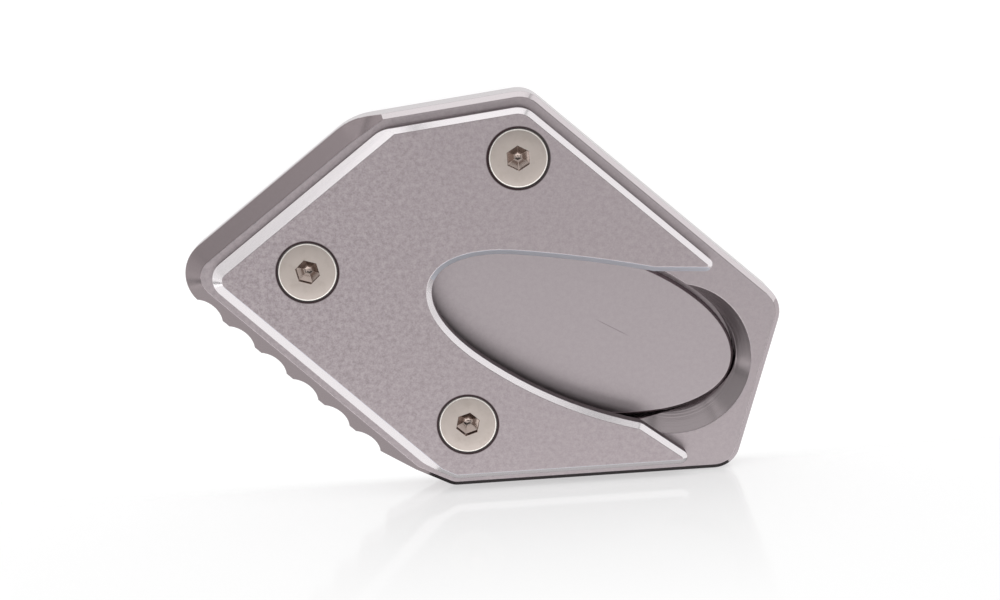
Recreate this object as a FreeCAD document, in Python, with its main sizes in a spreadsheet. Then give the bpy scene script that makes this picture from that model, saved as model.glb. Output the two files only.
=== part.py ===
import FreeCAD, Part
import Sketcher

import math
import os
from collections import namedtuple

# Kickstand foot enlarger for a motorcycle's side stand.
# A thick base plate spreads the load on soft ground. A thinner forked plate is screwed on top of it, and its
# opening grips the stand's foot, which sits in an elliptical pocket on a height spacer.
# The part lies on its ground face: +Z is up, +X runs along the straight bottom edge of the plan, and the
# origin is on the ground, under the middle of the plan.

# Driving dimensions in millimetres and degrees: alias, value, meaning.
# A side of the plan is a line at an angle, at its reach from the origin. The sides run clockwise.
SIZES = (
    ("upper_left_angle", 36.0, "side beside the wide bevel, from the nose to the shoulder"),
    ("upper_left_reach", 43.7, "its distance from the origin"),
    ("upper_angle", 6.0, "side from the shoulder to the peak"),
    ("upper_reach", 38.9, "its distance from the origin"),
    ("upper_right_angle", -43.0, "side from the peak to the right corner"),
    ("upper_right_reach", 37.05, "its distance from the origin"),
    ("right_angle", -108.0, "short side at the right end"),
    ("right_reach", 59.2, "its distance from the origin"),
    ("bottom_angle", 180.0, "straight bottom side, along X"),
    ("bottom_reach", 39.9, "its distance from the origin"),
    ("cut_angle", 152.5, "short side between the bottom and the scallops"),
    ("cut_length", 7.1, "how much of the bottom side it takes off"),
    ("lower_left_angle", 135.0, "side with the scallops"),
    ("lower_left_reach", 39.4, "its distance from the origin"),
    ("base_nose_round", 7.5, "plan radius of the base plate's left corner"),
    ("base_shoulder_round", 14.0, "between the upper left and upper sides"),
    ("base_peak_round", 6.0, "between the upper and upper right sides"),
    ("base_right_round", 6.0, "between the upper right and right sides"),
    ("base_heel_round", 5.5, "between the right and bottom sides"),
    ("base_cut_round", 4.0, "at both ends of the cut side"),
    ("clamp_nose_round", 3.9, "plan radius of the clamp plate's left corner"),
    ("clamp_shoulder_round", 7.0, "between the upper left and upper sides"),
    ("clamp_peak_round", 5.0, "between the upper and upper right sides"),
    ("clamp_cut_round", 3.0, "at both ends of the cut side"),
    ("base_thickness", 10.0, "base plate"),
    ("clamp_thickness", 4.0, "clamp plate"),
    ("wide_bevel", 3.5, "45 degree bevel on the base plate's two left sides"),
    ("base_chamfer", 1.0, "chamfer on the base plate's other upper edges"),
    ("ground_chamfer", 0.4, "broken edge round the ground face"),
    ("ledge", 1.7, "flat of the base plate left round the clamp plate"),
    ("clamp_bevel", 2.2, "45 degree bevel on the clamp plate's two left sides"),
    ("clamp_chamfer", 1.1, "chamfer on the clamp plate's other upper edges"),
    ("base_runout_angle", 32.0, "direction in which the base plate's bevel leaves the shoulder"),
    ("base_runout_inset", 4.5, "how far inside the upper side it turns"),
    ("clamp_runout_angle", 30.0, "direction in which the clamp plate's bevel leaves the shoulder"),
    ("clamp_runout_inset", 2.8, "how far inside the upper side it turns"),
    ("scallop_radius", 4.4, "vertical half-round notch in the lower left side"),
    ("scallop_depth", 1.5, "depth of a notch"),
    ("scallop_pitch", 8.4, "distance from notch to notch"),
    ("scallop_count", 6, "number of notches"),
    ("scallop_start", 38.9, "first notch, along the side from the foot of its reach"),
    ("pocket_x", 15.78, "middle of the elliptical pocket"),
    ("pocket_y", -8.25, "middle of the elliptical pocket"),
    ("pocket_turn", -16.7, "angle of the ellipse's long axis"),
    ("pocket_floor", 3.0, "plate left under the pocket"),
    ("spacer_long_half", 35.0, "half the spacer's length"),
    ("spacer_short_half", 17.1, "half the spacer's width"),
    ("spacer_thickness", 4.0, "spacer"),
    ("spacer_chamfer", 0.6, "chamfer round the spacer's upper edge"),
    ("spacer_along", 0.75, "the spacer's middle from the pocket's, along the long axis"),
    ("spacer_across", 0.35, "the spacer's middle below the pocket's, across the long axis"),
    ("spacer_gap", 1.0, "clearance between the spacer and the pocket's wall"),
    ("lobe_x", 37.7, "middle of the round dished lobe"),
    ("lobe_y", -15.95, "middle of the round dished lobe"),
    ("lobe_radius", 15.65, "lobe at the base plate's upper face"),
    ("lobe_depth", 5.0, "depth of its cone"),
    ("lobe_run", 5.0, "width of its cone"),
    ("nose_x", 17.85, "middle of the opening's elliptical nose"),
    ("nose_y", -8.3, "middle of the opening's elliptical nose"),
    ("nose_turn", -23.4, "angle of the nose's long axis"),
    ("nose_long_half", 30.2, "half the nose's length"),
    ("nose_short_half", 13.0, "half the nose's width"),
    ("upper_lip_radius", 270.0, "shallow arc of the opening's upper side"),
    ("upper_lip_end", 34.0, "where it meets the upper prong's edge, along X"),
    ("upper_prong_angle", -4.0, "edge of the upper prong"),
    ("upper_prong_reach", 5.45, "its distance from the origin"),
    ("lower_lip_radius", 88.0, "shallow arc of the opening's lower side"),
    ("lower_lip_end", 30.2, "where it meets the lower prong's edge, along X"),
    ("lower_prong_angle", 142.0, "edge of the lower prong"),
    ("lower_prong_reach", 3.5, "its distance from the origin"),
    ("prong_round", 1.4, "plan radius of the prongs' tips"),
    ("lip_round", 3.0, "plan radius between the lower side and the lower prong's edge"),
    ("cutter_reach", 80.0, "how far from the origin the cuts reach that run out of the plan"),
    ("screw_left_from_upper_left", 17.33, "left screw's distance from that side"),
    ("screw_left_from_lower_left", 20.45, "left screw's distance from that side"),
    ("screw_left_turn", 42.0, "angle of its socket's first corner"),
    ("screw_top_from_upper", 12.47, "top screw's distance from that side"),
    ("screw_top_from_upper_right", 11.16, "top screw's distance from that side"),
    ("screw_top_turn", 30.6, "angle of its socket's first corner"),
    ("screw_lower_from_bottom", 14.25, "lower screw's distance from that side"),
    ("screw_lower_from_lower_left", 17.8, "lower screw's distance from that side"),
    ("screw_lower_turn", 16.6, "angle of its socket's first corner"),
    ("screw_length", 10.0, "over all, with the head"),
    ("shank_radius", 3.0, "thread's outer radius"),
    ("shank_point", 0.9, "chamfer at the screw's end"),
    ("head_radius", 5.75, "countersunk head"),
    ("head_rim", 0.2, "cylindrical rim above the head's cone"),
    ("head_edge", 0.15, "broken upper edge of the head"),
    ("head_seat_gap", 0.05, "clearance between the head's cone and the countersink"),
    ("socket_flats", 4.0, "hexagon socket across flats"),
    ("socket_depth", 2.2, "straight part of the socket"),
    ("socket_point", 1.1, "depth of the socket's drilled point"),
    ("thread_gap", 0.05, "clearance round the thread in the base plate"),
    ("clearance_radius", 3.3, "hole for the shank in the clamp plate"),
    ("tapped_depth", 6.5, "full depth of the threaded holes, without their drilled points"),
)

SIDES = ("upper_left", "upper", "upper_right", "right", "bottom", "cut", "lower_left")
BEVELLED_SIDES = ("upper_left", "lower_left")
# Each screw stands at its distances from two sides.
SCREWS = {
    "screw_left": ("upper_left", "lower_left"),
    "screw_top": ("upper", "upper_right"),
    "screw_lower": ("bottom", "lower_left"),
}

# One straight side of a plan: its angle, its reach and the radius of the corner where it ends. Each is an
# expression on the sheet, and a corner of None stays sharp.
Side = namedtuple("Side", "angle reach corner", defaults=(None,))

BEVEL_ANGLE = 45
DRILL_POINT_ANGLE = 118
COUNTERSINK_ANGLE = 90

POCKET_CENTRE = ("Sizes.pocket_x", "Sizes.pocket_y")
SPACER_CENTRE = (
    "Sizes.pocket_x + Sizes.spacer_along * cos(Sizes.pocket_turn)"
    " + Sizes.spacer_across * sin(Sizes.pocket_turn)",
    "Sizes.pocket_y + Sizes.spacer_along * sin(Sizes.pocket_turn)"
    " - Sizes.spacer_across * cos(Sizes.pocket_turn)",
)
NOSE_CENTRE = ("Sizes.nose_x", "Sizes.nose_y")
UPPER_PRONG = Side("Sizes.upper_prong_angle", "Sizes.upper_prong_reach")
LOWER_PRONG = Side("Sizes.lower_prong_angle", "Sizes.lower_prong_reach")

# Heights and insets that the plates and the pieces on them share.
PART_TOP = "Sizes.base_thickness + Sizes.clamp_thickness"
CLAMP_INSET = "(Sizes.base_chamfer + Sizes.ledge)"
CLAMP_INSET_AT_BEVEL = "(Sizes.wide_bevel + Sizes.ledge)"
SEAT_OFFSET = "Sizes.head_seat_gap * sqrt(2)"

doc = FreeCAD.newDocument("kickstand_foot_enlarger")


def write_sheet():
    """Put every driving dimension into a cell with its alias."""
    sheet = doc.addObject("Spreadsheet::Sheet", "Sizes")
    for row, (alias, number, meaning) in enumerate(SIZES, start=1):
        sheet.set(f"A{row}", alias)
        sheet.set(f"B{row}", str(number))
        sheet.set(f"C{row}", meaning)
        sheet.setAlias(f"B{row}", alias)
    doc.recompute()
    return sheet


sheet = write_sheet()


def number(expression):
    """Present value of an expression."""
    return float(sheet.evalExpression(expression))


def new_body(name):
    """Empty body whose label is the name of its file."""
    body = doc.addObject("PartDesign::Body", name)
    body.Label = name
    return body


def origin_feature(body, role):
    """Plane or axis of the body's own origin."""
    return next(feature for feature in body.Origin.OriginFeatures if feature.Role == role)


def new_sketch(body, name, height=None, role="XY_Plane"):
    """Sketch on one of the body's origin planes, lifted to a height if one is given."""
    sketch = body.newObject("Sketcher::SketchObject", name)
    sketch.AttachmentSupport = [(origin_feature(body, role), "")]
    sketch.MapMode = "FlatFace"
    if height:
        sketch.setExpression("AttachmentOffset.Base.z", height)
    return sketch


def hold(sketch, kind, *where, to):
    """Add a dimension to a sketch and tie it to the sheet. Angles are in degrees on the sheet."""
    start = number(to)
    if kind == "Angle":
        start = math.radians(start)
    index = sketch.addConstraint(Sketcher.Constraint(kind, *where, start))
    sketch.setExpression(f"Constraints[{index}]", f"({to}) * 1 deg" if kind == "Angle" else to)


def hold_point(sketch, element, end, x, y):
    """Hold a point of a sketch at its distances from the origin."""
    hold(sketch, "DistanceX", -1, 1, element, end, to=x)
    hold(sketch, "DistanceY", -1, 1, element, end, to=y)


def direction(angle):
    """Unit vector at an angle in degrees."""
    return FreeCAD.Vector(math.cos(math.radians(angle)), math.sin(math.radians(angle)), 0)


def outward(angle):
    """Unit vector that points out of the plan from a side at this angle."""
    return direction(angle + 90)


def crossing_place(first, second):
    """Expressions for the place where two sides meet."""
    return tuple(
        f"(({first.reach}) * {part}({second.angle}) - ({second.reach}) * {part}({first.angle}))"
        f" / sin({second.angle} - {first.angle})"
        for part in ("cos", "sin")
    )


def crossing(first, second):
    """Point where two sides meet."""
    x, y = crossing_place(first, second)
    return FreeCAD.Vector(number(x), number(y), 0)


def reach_through_corner(angle, first, second):
    """Expression for the reach of a line at an angle through the point where two sides meet."""
    return (
        f"(({first.reach}) * sin({angle} - {second.angle}) - ({second.reach}) * sin({angle} - {first.angle}))"
        f" / sin({first.angle} - {second.angle})"
    )


def plan_side(name, inset="0", corner=None):
    """One of the plan's sides, moved inwards, with the radius of the corner where it ends.

    The cut side takes the corner off between the bottom and the scalloped side, so its reach follows theirs.
    """
    angle, reach = f"Sizes.{name}_angle", f"Sizes.{name}_reach"
    if name == "cut":
        bottom, scalloped = plan_side("bottom"), plan_side("lower_left")
        at_corner = reach_through_corner(angle, bottom, scalloped)
        reach = f"{at_corner} - Sizes.cut_length * sin({bottom.angle} - {angle})"
    return Side(angle, f"{reach} - {inset}", corner)


def screw_place(name):
    """Expressions for the place of a screw, at its distances from two sides."""
    return crossing_place(*(plan_side(side, f"Sizes.{name}_from_{side}") for side in SCREWS[name]))


def draw_outline(sketch, sides):
    """Closed outline of straight sides, each with its outside on its left, with tangent arcs in its corners.

    A side with a negative reach has the origin on its outside.
    """
    starts, ends, rounds = [], [], []
    for side, following in zip(sides, sides[1:] + sides[:1]):
        corner = crossing(side, following)
        if side.corner is None:
            ends.append(corner)
            starts.append(corner)
            rounds.append(None)
            continue
        arrive, leave = direction(number(side.angle)), direction(number(following.angle))
        radius = number(side.corner)
        cut_back = radius * math.tan(arrive.getAngle(leave) / 2)
        ends.append(corner - arrive * cut_back)
        starts.append(corner + leave * cut_back)
        turns_left = arrive.cross(leave).z > 0
        centre = ends[-1] + outward(number(side.angle)) * (radius if turns_left else -radius)
        middle = centre + (corner - centre).normalize() * radius
        rounds.append((Part.Arc(ends[-1], middle, starts[-1]), turns_left))
    lines = [
        sketch.addGeometry(Part.LineSegment(starts[index - 1], ends[index]), False)
        for index in range(len(sides))
    ]
    for index, side in enumerate(sides):
        line, following = lines[index], lines[(index + 1) % len(lines)]
        if rounds[index] is None:
            sketch.addConstraint(Sketcher.Constraint("Coincident", line, 2, following, 1))
        else:
            # An arc is stored anticlockwise, so one that turns right begins at the following side.
            shape, turns_left = rounds[index]
            arc = sketch.addGeometry(shape, False)
            first, last = (1, 2) if turns_left else (2, 1)
            sketch.addConstraint(Sketcher.Constraint("Tangent", line, 2, arc, first))
            sketch.addConstraint(Sketcher.Constraint("Tangent", arc, last, following, 1))
            hold(sketch, "Radius", arc, to=side.corner)
        hold(sketch, "Angle", line, to=side.angle)
        distance = side.reach if number(side.reach) > 0 else f"-({side.reach})"
        hold(sketch, "Distance", -1, 1, line, to=distance)


def draw_profile(sketch, corners):
    """Closed outline through corners, each held at its distances from the sketch's two axes."""
    points = [FreeCAD.Vector(number(x), number(y), 0) for x, y in corners]
    count = len(points)
    for index in range(count):
        sketch.addGeometry(Part.LineSegment(points[index], points[(index + 1) % count]), False)
    for index, (x, y) in enumerate(corners):
        sketch.addConstraint(Sketcher.Constraint("Coincident", (index - 1) % count, 2, index, 1))
        for kind, axis, distance in (("DistanceX", -2, x), ("DistanceY", -1, y)):
            if distance == "0":
                sketch.addConstraint(Sketcher.Constraint("PointOnObject", index, 1, axis))
            else:
                hold(sketch, kind, -1, 1, index, 1, to=distance)


def ellipse_shape(centre, long_half, short_half, turn):
    """Ellipse at the present values of its middle, half lengths and angle."""
    middle = FreeCAD.Vector(number(centre[0]), number(centre[1]), 0)
    long_end = middle + direction(number(turn)) * number(long_half)
    short_end = middle + direction(number(turn) + 90) * number(short_half)
    return Part.Ellipse(long_end, short_end, middle)


def hold_ellipse(sketch, ellipse, centre, long_half, short_half, turn):
    """Tie an ellipse, or an arc of one, to the sheet by its middle and its two axes."""
    sketch.exposeInternalGeometry(ellipse)
    long_axis, short_axis = ellipse + 1, ellipse + 2
    hold_point(sketch, ellipse, 3, *centre)
    hold(sketch, "Distance", long_axis, to=f"2 * ({long_half})")
    hold(sketch, "Distance", short_axis, to=f"2 * ({short_half})")
    hold(sketch, "Angle", long_axis, to=f"{turn} + 180")


def draw_ellipse(sketch, *shape):
    """Whole ellipse, held by its middle, half lengths and angle."""
    hold_ellipse(sketch, sketch.addGeometry(ellipse_shape(*shape), False), *shape)


def draw_screw_circles(sketch, radius):
    """One circle at each screw."""
    for name in SCREWS:
        x, y = screw_place(name)
        centre = FreeCAD.Vector(number(x), number(y), 0)
        index = sketch.addGeometry(Part.Circle(centre, FreeCAD.Vector(0, 0, 1), number(radius)), False)
        hold_point(sketch, index, 3, x, y)
        hold(sketch, "Radius", index, to=radius)


def add_pad(body, sketch, length):
    """Solid of a sketch, upwards from its plane."""
    pad = body.newObject("PartDesign::Pad", f"{sketch.Name}_pad")
    pad.Profile = sketch
    pad.setExpression("Length", length)
    doc.recompute()


def add_pocket(body, sketch, depth, taper=0):
    """Cut of a sketch, downwards from its plane. A taper in degrees narrows the cut as it goes down."""
    before = body.Shape.Volume
    pocket = body.newObject("PartDesign::Pocket", f"{sketch.Name}_pocket")
    pocket.Profile = sketch
    pocket.setExpression("Length", depth)
    pocket.TaperAngle = -taper
    doc.recompute()
    if body.Shape.Volume >= before:
        raise RuntimeError(f"{pocket.Name} removes nothing")
    return pocket


def add_hole(body, sketch, radius):
    """Round hole, downwards, at each circle of a sketch."""
    hole = body.newObject("PartDesign::Hole", f"{sketch.Name}_hole")
    hole.Profile = sketch
    doc.recompute()
    hole.ThreadType = "None"
    hole.setExpression("Diameter", f"2 * ({radius})")
    return hole


def place_tool(tool, body, x, y, z):
    """Stand a cutting primitive upright with the middle of its lower face at a point."""
    tool.AttachmentSupport = [(origin_feature(body, "XY_Plane"), "")]
    tool.MapMode = "FlatFace"
    for axis, to in (("x", x), ("y", y), ("z", z)):
        tool.setExpression(f"AttachmentOffset.Base.{axis}", to)


def add_cone_cut(body, name, place, lower_radius, upper_radius, height):
    """Cut an upright cone whose lower face is at a place."""
    cone = body.newObject("PartDesign::SubtractiveCone", name)
    place_tool(cone, body, *place)
    cone.setExpression("Radius1", lower_radius)
    cone.setExpression("Radius2", upper_radius)
    cone.setExpression("Height", height)
    doc.recompute()


def flat_face(feature, height):
    """Name of the largest face that lies flat at a height."""
    flat = [
        (face.Area, f"Face{index}")
        for index, face in enumerate(feature.Shape.Faces, start=1)
        if max(abs(face.BoundBox.ZMin - height), abs(face.BoundBox.ZMax - height)) < 1e-6
    ]
    return max(flat)[1]


def upright_edge(feature, point):
    """Name of the upright edge nearest to a point of the plan."""
    upright = [
        (math.hypot(edge.BoundBox.XMin - point.x, edge.BoundBox.YMin - point.y), f"Edge{index}")
        for index, edge in enumerate(feature.Shape.Edges, start=1)
        if max(edge.BoundBox.XLength, edge.BoundBox.YLength) < 1e-6
    ]
    return min(upright)[1]


def chamfer_face(body, name, height, width):
    """Chamfer every edge of the flat face at a height."""
    feature = body.Tip
    chamfer = body.newObject("PartDesign::Chamfer", name)
    chamfer.Base = (feature, [flat_face(feature, number(height))])
    chamfer.setExpression("Size", width)
    doc.recompute()


def round_upright(body, name, point, radius):
    """Round the upright edge at a point of the plan."""
    feature = body.Tip
    rounding = body.newObject("PartDesign::Fillet", name)
    rounding.Base = (feature, [upright_edge(feature, point)])
    rounding.setExpression("Radius", radius)
    doc.recompute()


def cut_bevel(body, name, top, width, inset, nose_round, runout_angle, runout_inset):
    """45 degree bevel on the two left sides, round the nose, that runs out straight at both ends.

    The cut is drawn outside the bevel's inner edge, on the upper face, and its own taper makes the slope.
    """
    lower_left = plan_side("lower_left", f"({inset} + {width})", f"{nose_round} - {width}")
    upper_left = plan_side("upper_left", f"({inset} + {width})")
    upper = plan_side("upper", runout_inset)
    runout = Side(runout_angle, reach_through_corner(runout_angle, upper_left, upper))
    outside = [Side(angle, "-Sizes.cutter_reach") for angle in ("180", "-90", "0")]
    sketch = new_sketch(body, name, height=top)
    draw_outline(sketch, [lower_left, upper_left, runout] + outside)
    add_pocket(body, sketch, width, taper=BEVEL_ANGLE)


def cut_scallops(body):
    """Row of half-round notches through the lower left side."""
    angle = "Sizes.lower_left_angle"
    reach = "(Sizes.lower_left_reach + Sizes.scallop_radius - Sizes.scallop_depth)"
    x = f"Sizes.scallop_start * cos({angle}) - {reach} * sin({angle})"
    y = f"Sizes.scallop_start * sin({angle}) + {reach} * cos({angle})"
    centre = FreeCAD.Vector(number(x), number(y), 0)
    radius = number("Sizes.scallop_radius")
    row_end = centre - direction(number(angle)) * number("Sizes.scallop_pitch")
    sketch = new_sketch(body, "scallop", height="Sizes.base_thickness")
    circle = sketch.addGeometry(Part.Circle(centre, FreeCAD.Vector(0, 0, 1), radius), False)
    row = sketch.addGeometry(Part.LineSegment(row_end, centre), True)
    sketch.addConstraint(Sketcher.Constraint("Coincident", row, 2, circle, 3))
    hold_point(sketch, circle, 3, x, y)
    hold(sketch, "Radius", circle, to="Sizes.scallop_radius")
    hold(sketch, "Angle", row, to=angle)
    hold(sketch, "Distance", row, to="Sizes.scallop_pitch")
    notch = add_pocket(body, sketch, "Sizes.base_thickness")
    pattern = body.newObject("PartDesign::LinearPattern", "scallop_row")
    pattern.Originals = [notch]
    pattern.Direction = (sketch, ["Axis0"])
    pattern.Reversed = True
    pattern.setExpression("Length", "Sizes.scallop_pitch * (Sizes.scallop_count - 1)")
    pattern.setExpression("Occurrences", "Sizes.scallop_count")
    body.Tip = pattern
    doc.recompute()


def touch_point(ellipse, side, corner, radius):
    """Point where an arc of a radius, through a corner outside, touches an ellipse from around it.

    The point lies between an end of the ellipse's short axis, at 90 or 270 degrees, and the nose, at 180. It
    comes as its angle on the ellipse, with the middle of the arc.
    """

    def circle_centre(angle):
        across = FreeCAD.Vector(0, 0, 1).cross(ellipse.tangent(angle)[0])
        return ellipse.value(angle) + across * radius

    short_end, nose_end = math.radians(side), math.pi
    for _ in range(50):
        angle = (short_end + nose_end) / 2
        if (corner - circle_centre(angle)).Length > radius:
            short_end = angle
        else:
            nose_end = angle
    return angle, circle_centre(angle)


def lip_arc(centre, radius, start, end):
    """Anticlockwise arc round a centre between two points."""
    middle = centre + ((start + end) / 2 - centre).normalize() * radius
    return Part.Arc(start, middle, end)


def draw_opening(sketch):
    """Outline of the clamp plate's opening: an elliptical nose, two shallow lips and the prongs' edges."""
    nose_size = (NOSE_CENTRE, "Sizes.nose_long_half", "Sizes.nose_short_half", "Sizes.nose_turn")
    ellipse = ellipse_shape(*nose_size)
    upper_end = Side("-90", "Sizes.upper_lip_end")
    lower_end = Side("-90", "Sizes.lower_lip_end")
    outside = Side("-90", "Sizes.cutter_reach")
    upper_corner, lower_corner = crossing(upper_end, UPPER_PRONG), crossing(lower_end, LOWER_PRONG)
    upper_out, lower_out = crossing(outside, UPPER_PRONG), crossing(outside, LOWER_PRONG)
    upper_radius, lower_radius = number("Sizes.upper_lip_radius"), number("Sizes.lower_lip_radius")
    upper_touch, upper_centre = touch_point(ellipse, 90, upper_corner, upper_radius)
    lower_touch, lower_centre = touch_point(ellipse, 270, lower_corner, lower_radius)

    nose = sketch.addGeometry(Part.ArcOfEllipse(ellipse, upper_touch, lower_touch), False)
    hold_ellipse(sketch, nose, *nose_size)
    upper_lip, lower_lip, upper_edge, closing, lower_edge = [
        sketch.addGeometry(shape, False)
        for shape in (
            lip_arc(upper_centre, upper_radius, upper_corner, ellipse.value(upper_touch)),
            lip_arc(lower_centre, lower_radius, ellipse.value(lower_touch), lower_corner),
            Part.LineSegment(upper_corner, upper_out),
            Part.LineSegment(upper_out, lower_out),
            Part.LineSegment(lower_out, lower_corner),
        )
    ]
    for kind, *where in (
        ("Tangent", upper_lip, 2, nose, 1),
        ("Tangent", nose, 2, lower_lip, 1),
        ("Coincident", upper_lip, 1, upper_edge, 1),
        ("Coincident", upper_edge, 2, closing, 1),
        ("Coincident", closing, 2, lower_edge, 1),
        ("Coincident", lower_edge, 2, lower_lip, 2),
        ("Vertical", closing),
    ):
        sketch.addConstraint(Sketcher.Constraint(kind, *where))
    hold(sketch, "Radius", upper_lip, to="Sizes.upper_lip_radius")
    hold(sketch, "Radius", lower_lip, to="Sizes.lower_lip_radius")
    hold(sketch, "DistanceX", -1, 1, upper_edge, 1, to="Sizes.upper_lip_end")
    hold(sketch, "DistanceX", -1, 1, lower_edge, 2, to="Sizes.lower_lip_end")
    hold(sketch, "Distance", -1, 1, closing, to=outside.reach)
    for line, side in ((upper_edge, UPPER_PRONG), (lower_edge, LOWER_PRONG)):
        hold(sketch, "Angle", line, to=side.angle)
        hold(sketch, "Distance", -1, 1, line, to=side.reach)


def make_base_plate():
    """Thick plate with its bevel, scallops, pocket, lobe and threaded holes."""
    body = new_body("base_plate")
    rounds = ("shoulder", "peak", "right", "heel", "cut", "cut", "nose")
    sides = [plan_side(name, corner=f"Sizes.base_{end}_round") for name, end in zip(SIDES, rounds)]
    outline = new_sketch(body, "base_outline")
    draw_outline(outline, sides)
    add_pad(body, outline, "Sizes.base_thickness")
    chamfer_face(body, "base_chamfer", "Sizes.base_thickness", "Sizes.base_chamfer")
    chamfer_face(body, "ground_chamfer", "0", "Sizes.ground_chamfer")
    cut_bevel(
        body, "base_bevel", "Sizes.base_thickness", "Sizes.wide_bevel", "0",
        "Sizes.base_nose_round", "Sizes.base_runout_angle", "Sizes.base_runout_inset",
    )
    cut_scallops(body)
    pocket = new_sketch(body, "base_pocket", height="Sizes.base_thickness")
    draw_ellipse(
        pocket, POCKET_CENTRE, "Sizes.spacer_long_half + Sizes.spacer_gap",
        "Sizes.spacer_short_half + Sizes.spacer_gap", "Sizes.pocket_turn",
    )
    add_pocket(body, pocket, "Sizes.base_thickness - Sizes.pocket_floor")
    lobe_place = ("Sizes.lobe_x", "Sizes.lobe_y", "Sizes.base_thickness - Sizes.lobe_depth")
    lobe_floor_radius = "Sizes.lobe_radius - Sizes.lobe_run"
    add_cone_cut(body, "lobe", lobe_place, lobe_floor_radius, "Sizes.lobe_radius", "Sizes.lobe_depth")
    thread_radius = "Sizes.shank_radius + Sizes.thread_gap"
    circles = new_sketch(body, "tapped", height="Sizes.base_thickness")
    draw_screw_circles(circles, thread_radius)
    hole = add_hole(body, circles, thread_radius)
    hole.DepthType = "Dimension"
    hole.setExpression("Depth", "Sizes.tapped_depth")
    hole.DrillPoint = "Angled"
    hole.DrillPointAngle = DRILL_POINT_ANGLE
    hole.DrillForDepth = False
    doc.recompute()
    return body


def make_clamp_plate():
    """Thinner forked plate with its opening, bevels and countersunk holes."""
    body = new_body("clamp_plate")
    # The right side falls inside the opening, so both its corners go with the cut and stay sharp here.
    rounds = ("shoulder", "peak", None, None, "cut", "cut", "nose")
    sides = []
    for name, end in zip(SIDES, rounds):
        inset = CLAMP_INSET_AT_BEVEL if name in BEVELLED_SIDES else CLAMP_INSET
        sides.append(plan_side(name, inset, end and f"Sizes.clamp_{end}_round"))
    outline = new_sketch(body, "clamp_outline", height="Sizes.base_thickness")
    draw_outline(outline, sides)
    add_pad(body, outline, "Sizes.clamp_thickness")
    opening = new_sketch(body, "clamp_opening", height=PART_TOP)
    draw_opening(opening)
    add_pocket(body, opening, "Sizes.clamp_thickness")
    upper_right, bottom = sides[SIDES.index("upper_right")], sides[SIDES.index("bottom")]
    lower_corner = crossing(Side("-90", "Sizes.lower_lip_end"), LOWER_PRONG)
    round_upright(body, "upper_prong_tip", crossing(upper_right, UPPER_PRONG), "Sizes.prong_round")
    round_upright(body, "lower_prong_tip", crossing(bottom, LOWER_PRONG), "Sizes.prong_round")
    round_upright(body, "lower_prong_root", lower_corner, "Sizes.lip_round")
    chamfer_face(body, "clamp_chamfer", PART_TOP, "Sizes.clamp_chamfer")
    cut_bevel(
        body, "clamp_bevel", PART_TOP, "Sizes.clamp_bevel", CLAMP_INSET_AT_BEVEL,
        "Sizes.clamp_nose_round", "Sizes.clamp_runout_angle", "Sizes.clamp_runout_inset",
    )
    circles = new_sketch(body, "clearance", height=PART_TOP)
    draw_screw_circles(circles, "Sizes.clearance_radius")
    hole = add_hole(body, circles, "Sizes.clearance_radius")
    hole.DepthType = "ThroughAll"
    hole.HoleCutType = "Countersink"
    hole.HoleCutCountersinkAngle = COUNTERSINK_ANGLE
    hole.setExpression("HoleCutDiameter", f"2 * (Sizes.head_radius + Sizes.head_rim + {SEAT_OFFSET})")
    doc.recompute()
    return body


def make_height_spacer():
    """Elliptical insert that lies on the pocket's floor."""
    body = new_body("height_spacer")
    outline = new_sketch(body, "spacer_outline", height="Sizes.pocket_floor")
    draw_ellipse(
        outline, SPACER_CENTRE, "Sizes.spacer_long_half", "Sizes.spacer_short_half", "Sizes.pocket_turn"
    )
    add_pad(body, outline, "Sizes.spacer_thickness")
    upper_face = "Sizes.pocket_floor + Sizes.spacer_thickness"
    chamfer_face(body, "spacer_chamfer", upper_face, "Sizes.spacer_chamfer")
    chamfer_face(body, "spacer_edge", "Sizes.pocket_floor", "Sizes.ground_chamfer")
    return body


def make_screw(name):
    """Countersunk screw with a hexagon socket, its head flush with the clamp plate."""
    body = new_body(name)
    cone_end = "Sizes.head_rim + Sizes.head_radius - Sizes.shank_radius"
    shank_end = "Sizes.screw_length - Sizes.shank_point"
    profile = new_sketch(body, f"{name}_profile", role="XZ_Plane")
    draw_profile(profile, [
        ("0", "0"),
        ("Sizes.head_radius - Sizes.head_edge", "0"),
        ("Sizes.head_radius", "-Sizes.head_edge"),
        ("Sizes.head_radius", "-Sizes.head_rim"),
        ("Sizes.shank_radius", f"-({cone_end})"),
        ("Sizes.shank_radius", f"-({shank_end})"),
        ("Sizes.shank_radius - Sizes.shank_point", "-Sizes.screw_length"),
        ("0", "-Sizes.screw_length"),
    ])
    turned = body.newObject("PartDesign::Revolution", f"{name}_turned")
    turned.Profile = profile
    turned.ReferenceAxis = (profile, ["V_Axis"])
    turned.Angle = 360
    doc.recompute()
    socket = body.newObject("PartDesign::SubtractivePrism", f"{name}_socket")
    place_tool(socket, body, "0", "0", "-Sizes.socket_depth")
    socket.Polygon = 6
    socket.setExpression("Circumradius", "Sizes.socket_flats / sqrt(3)")
    socket.setExpression("Height", "Sizes.socket_depth")
    doc.recompute()
    point_place = ("0", "0", "-(Sizes.socket_depth + Sizes.socket_point)")
    add_cone_cut(body, f"{name}_point", point_place, "0", "Sizes.socket_flats / 2", "Sizes.socket_point")
    for axis, to in zip("xyz", (*screw_place(name), PART_TOP)):
        body.setExpression(f"Placement.Base.{axis}", to)
    body.Placement.Rotation = FreeCAD.Rotation(FreeCAD.Vector(0, 0, 1), number(f"Sizes.{name}_turn"))
    doc.recompute()
    return body


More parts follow.
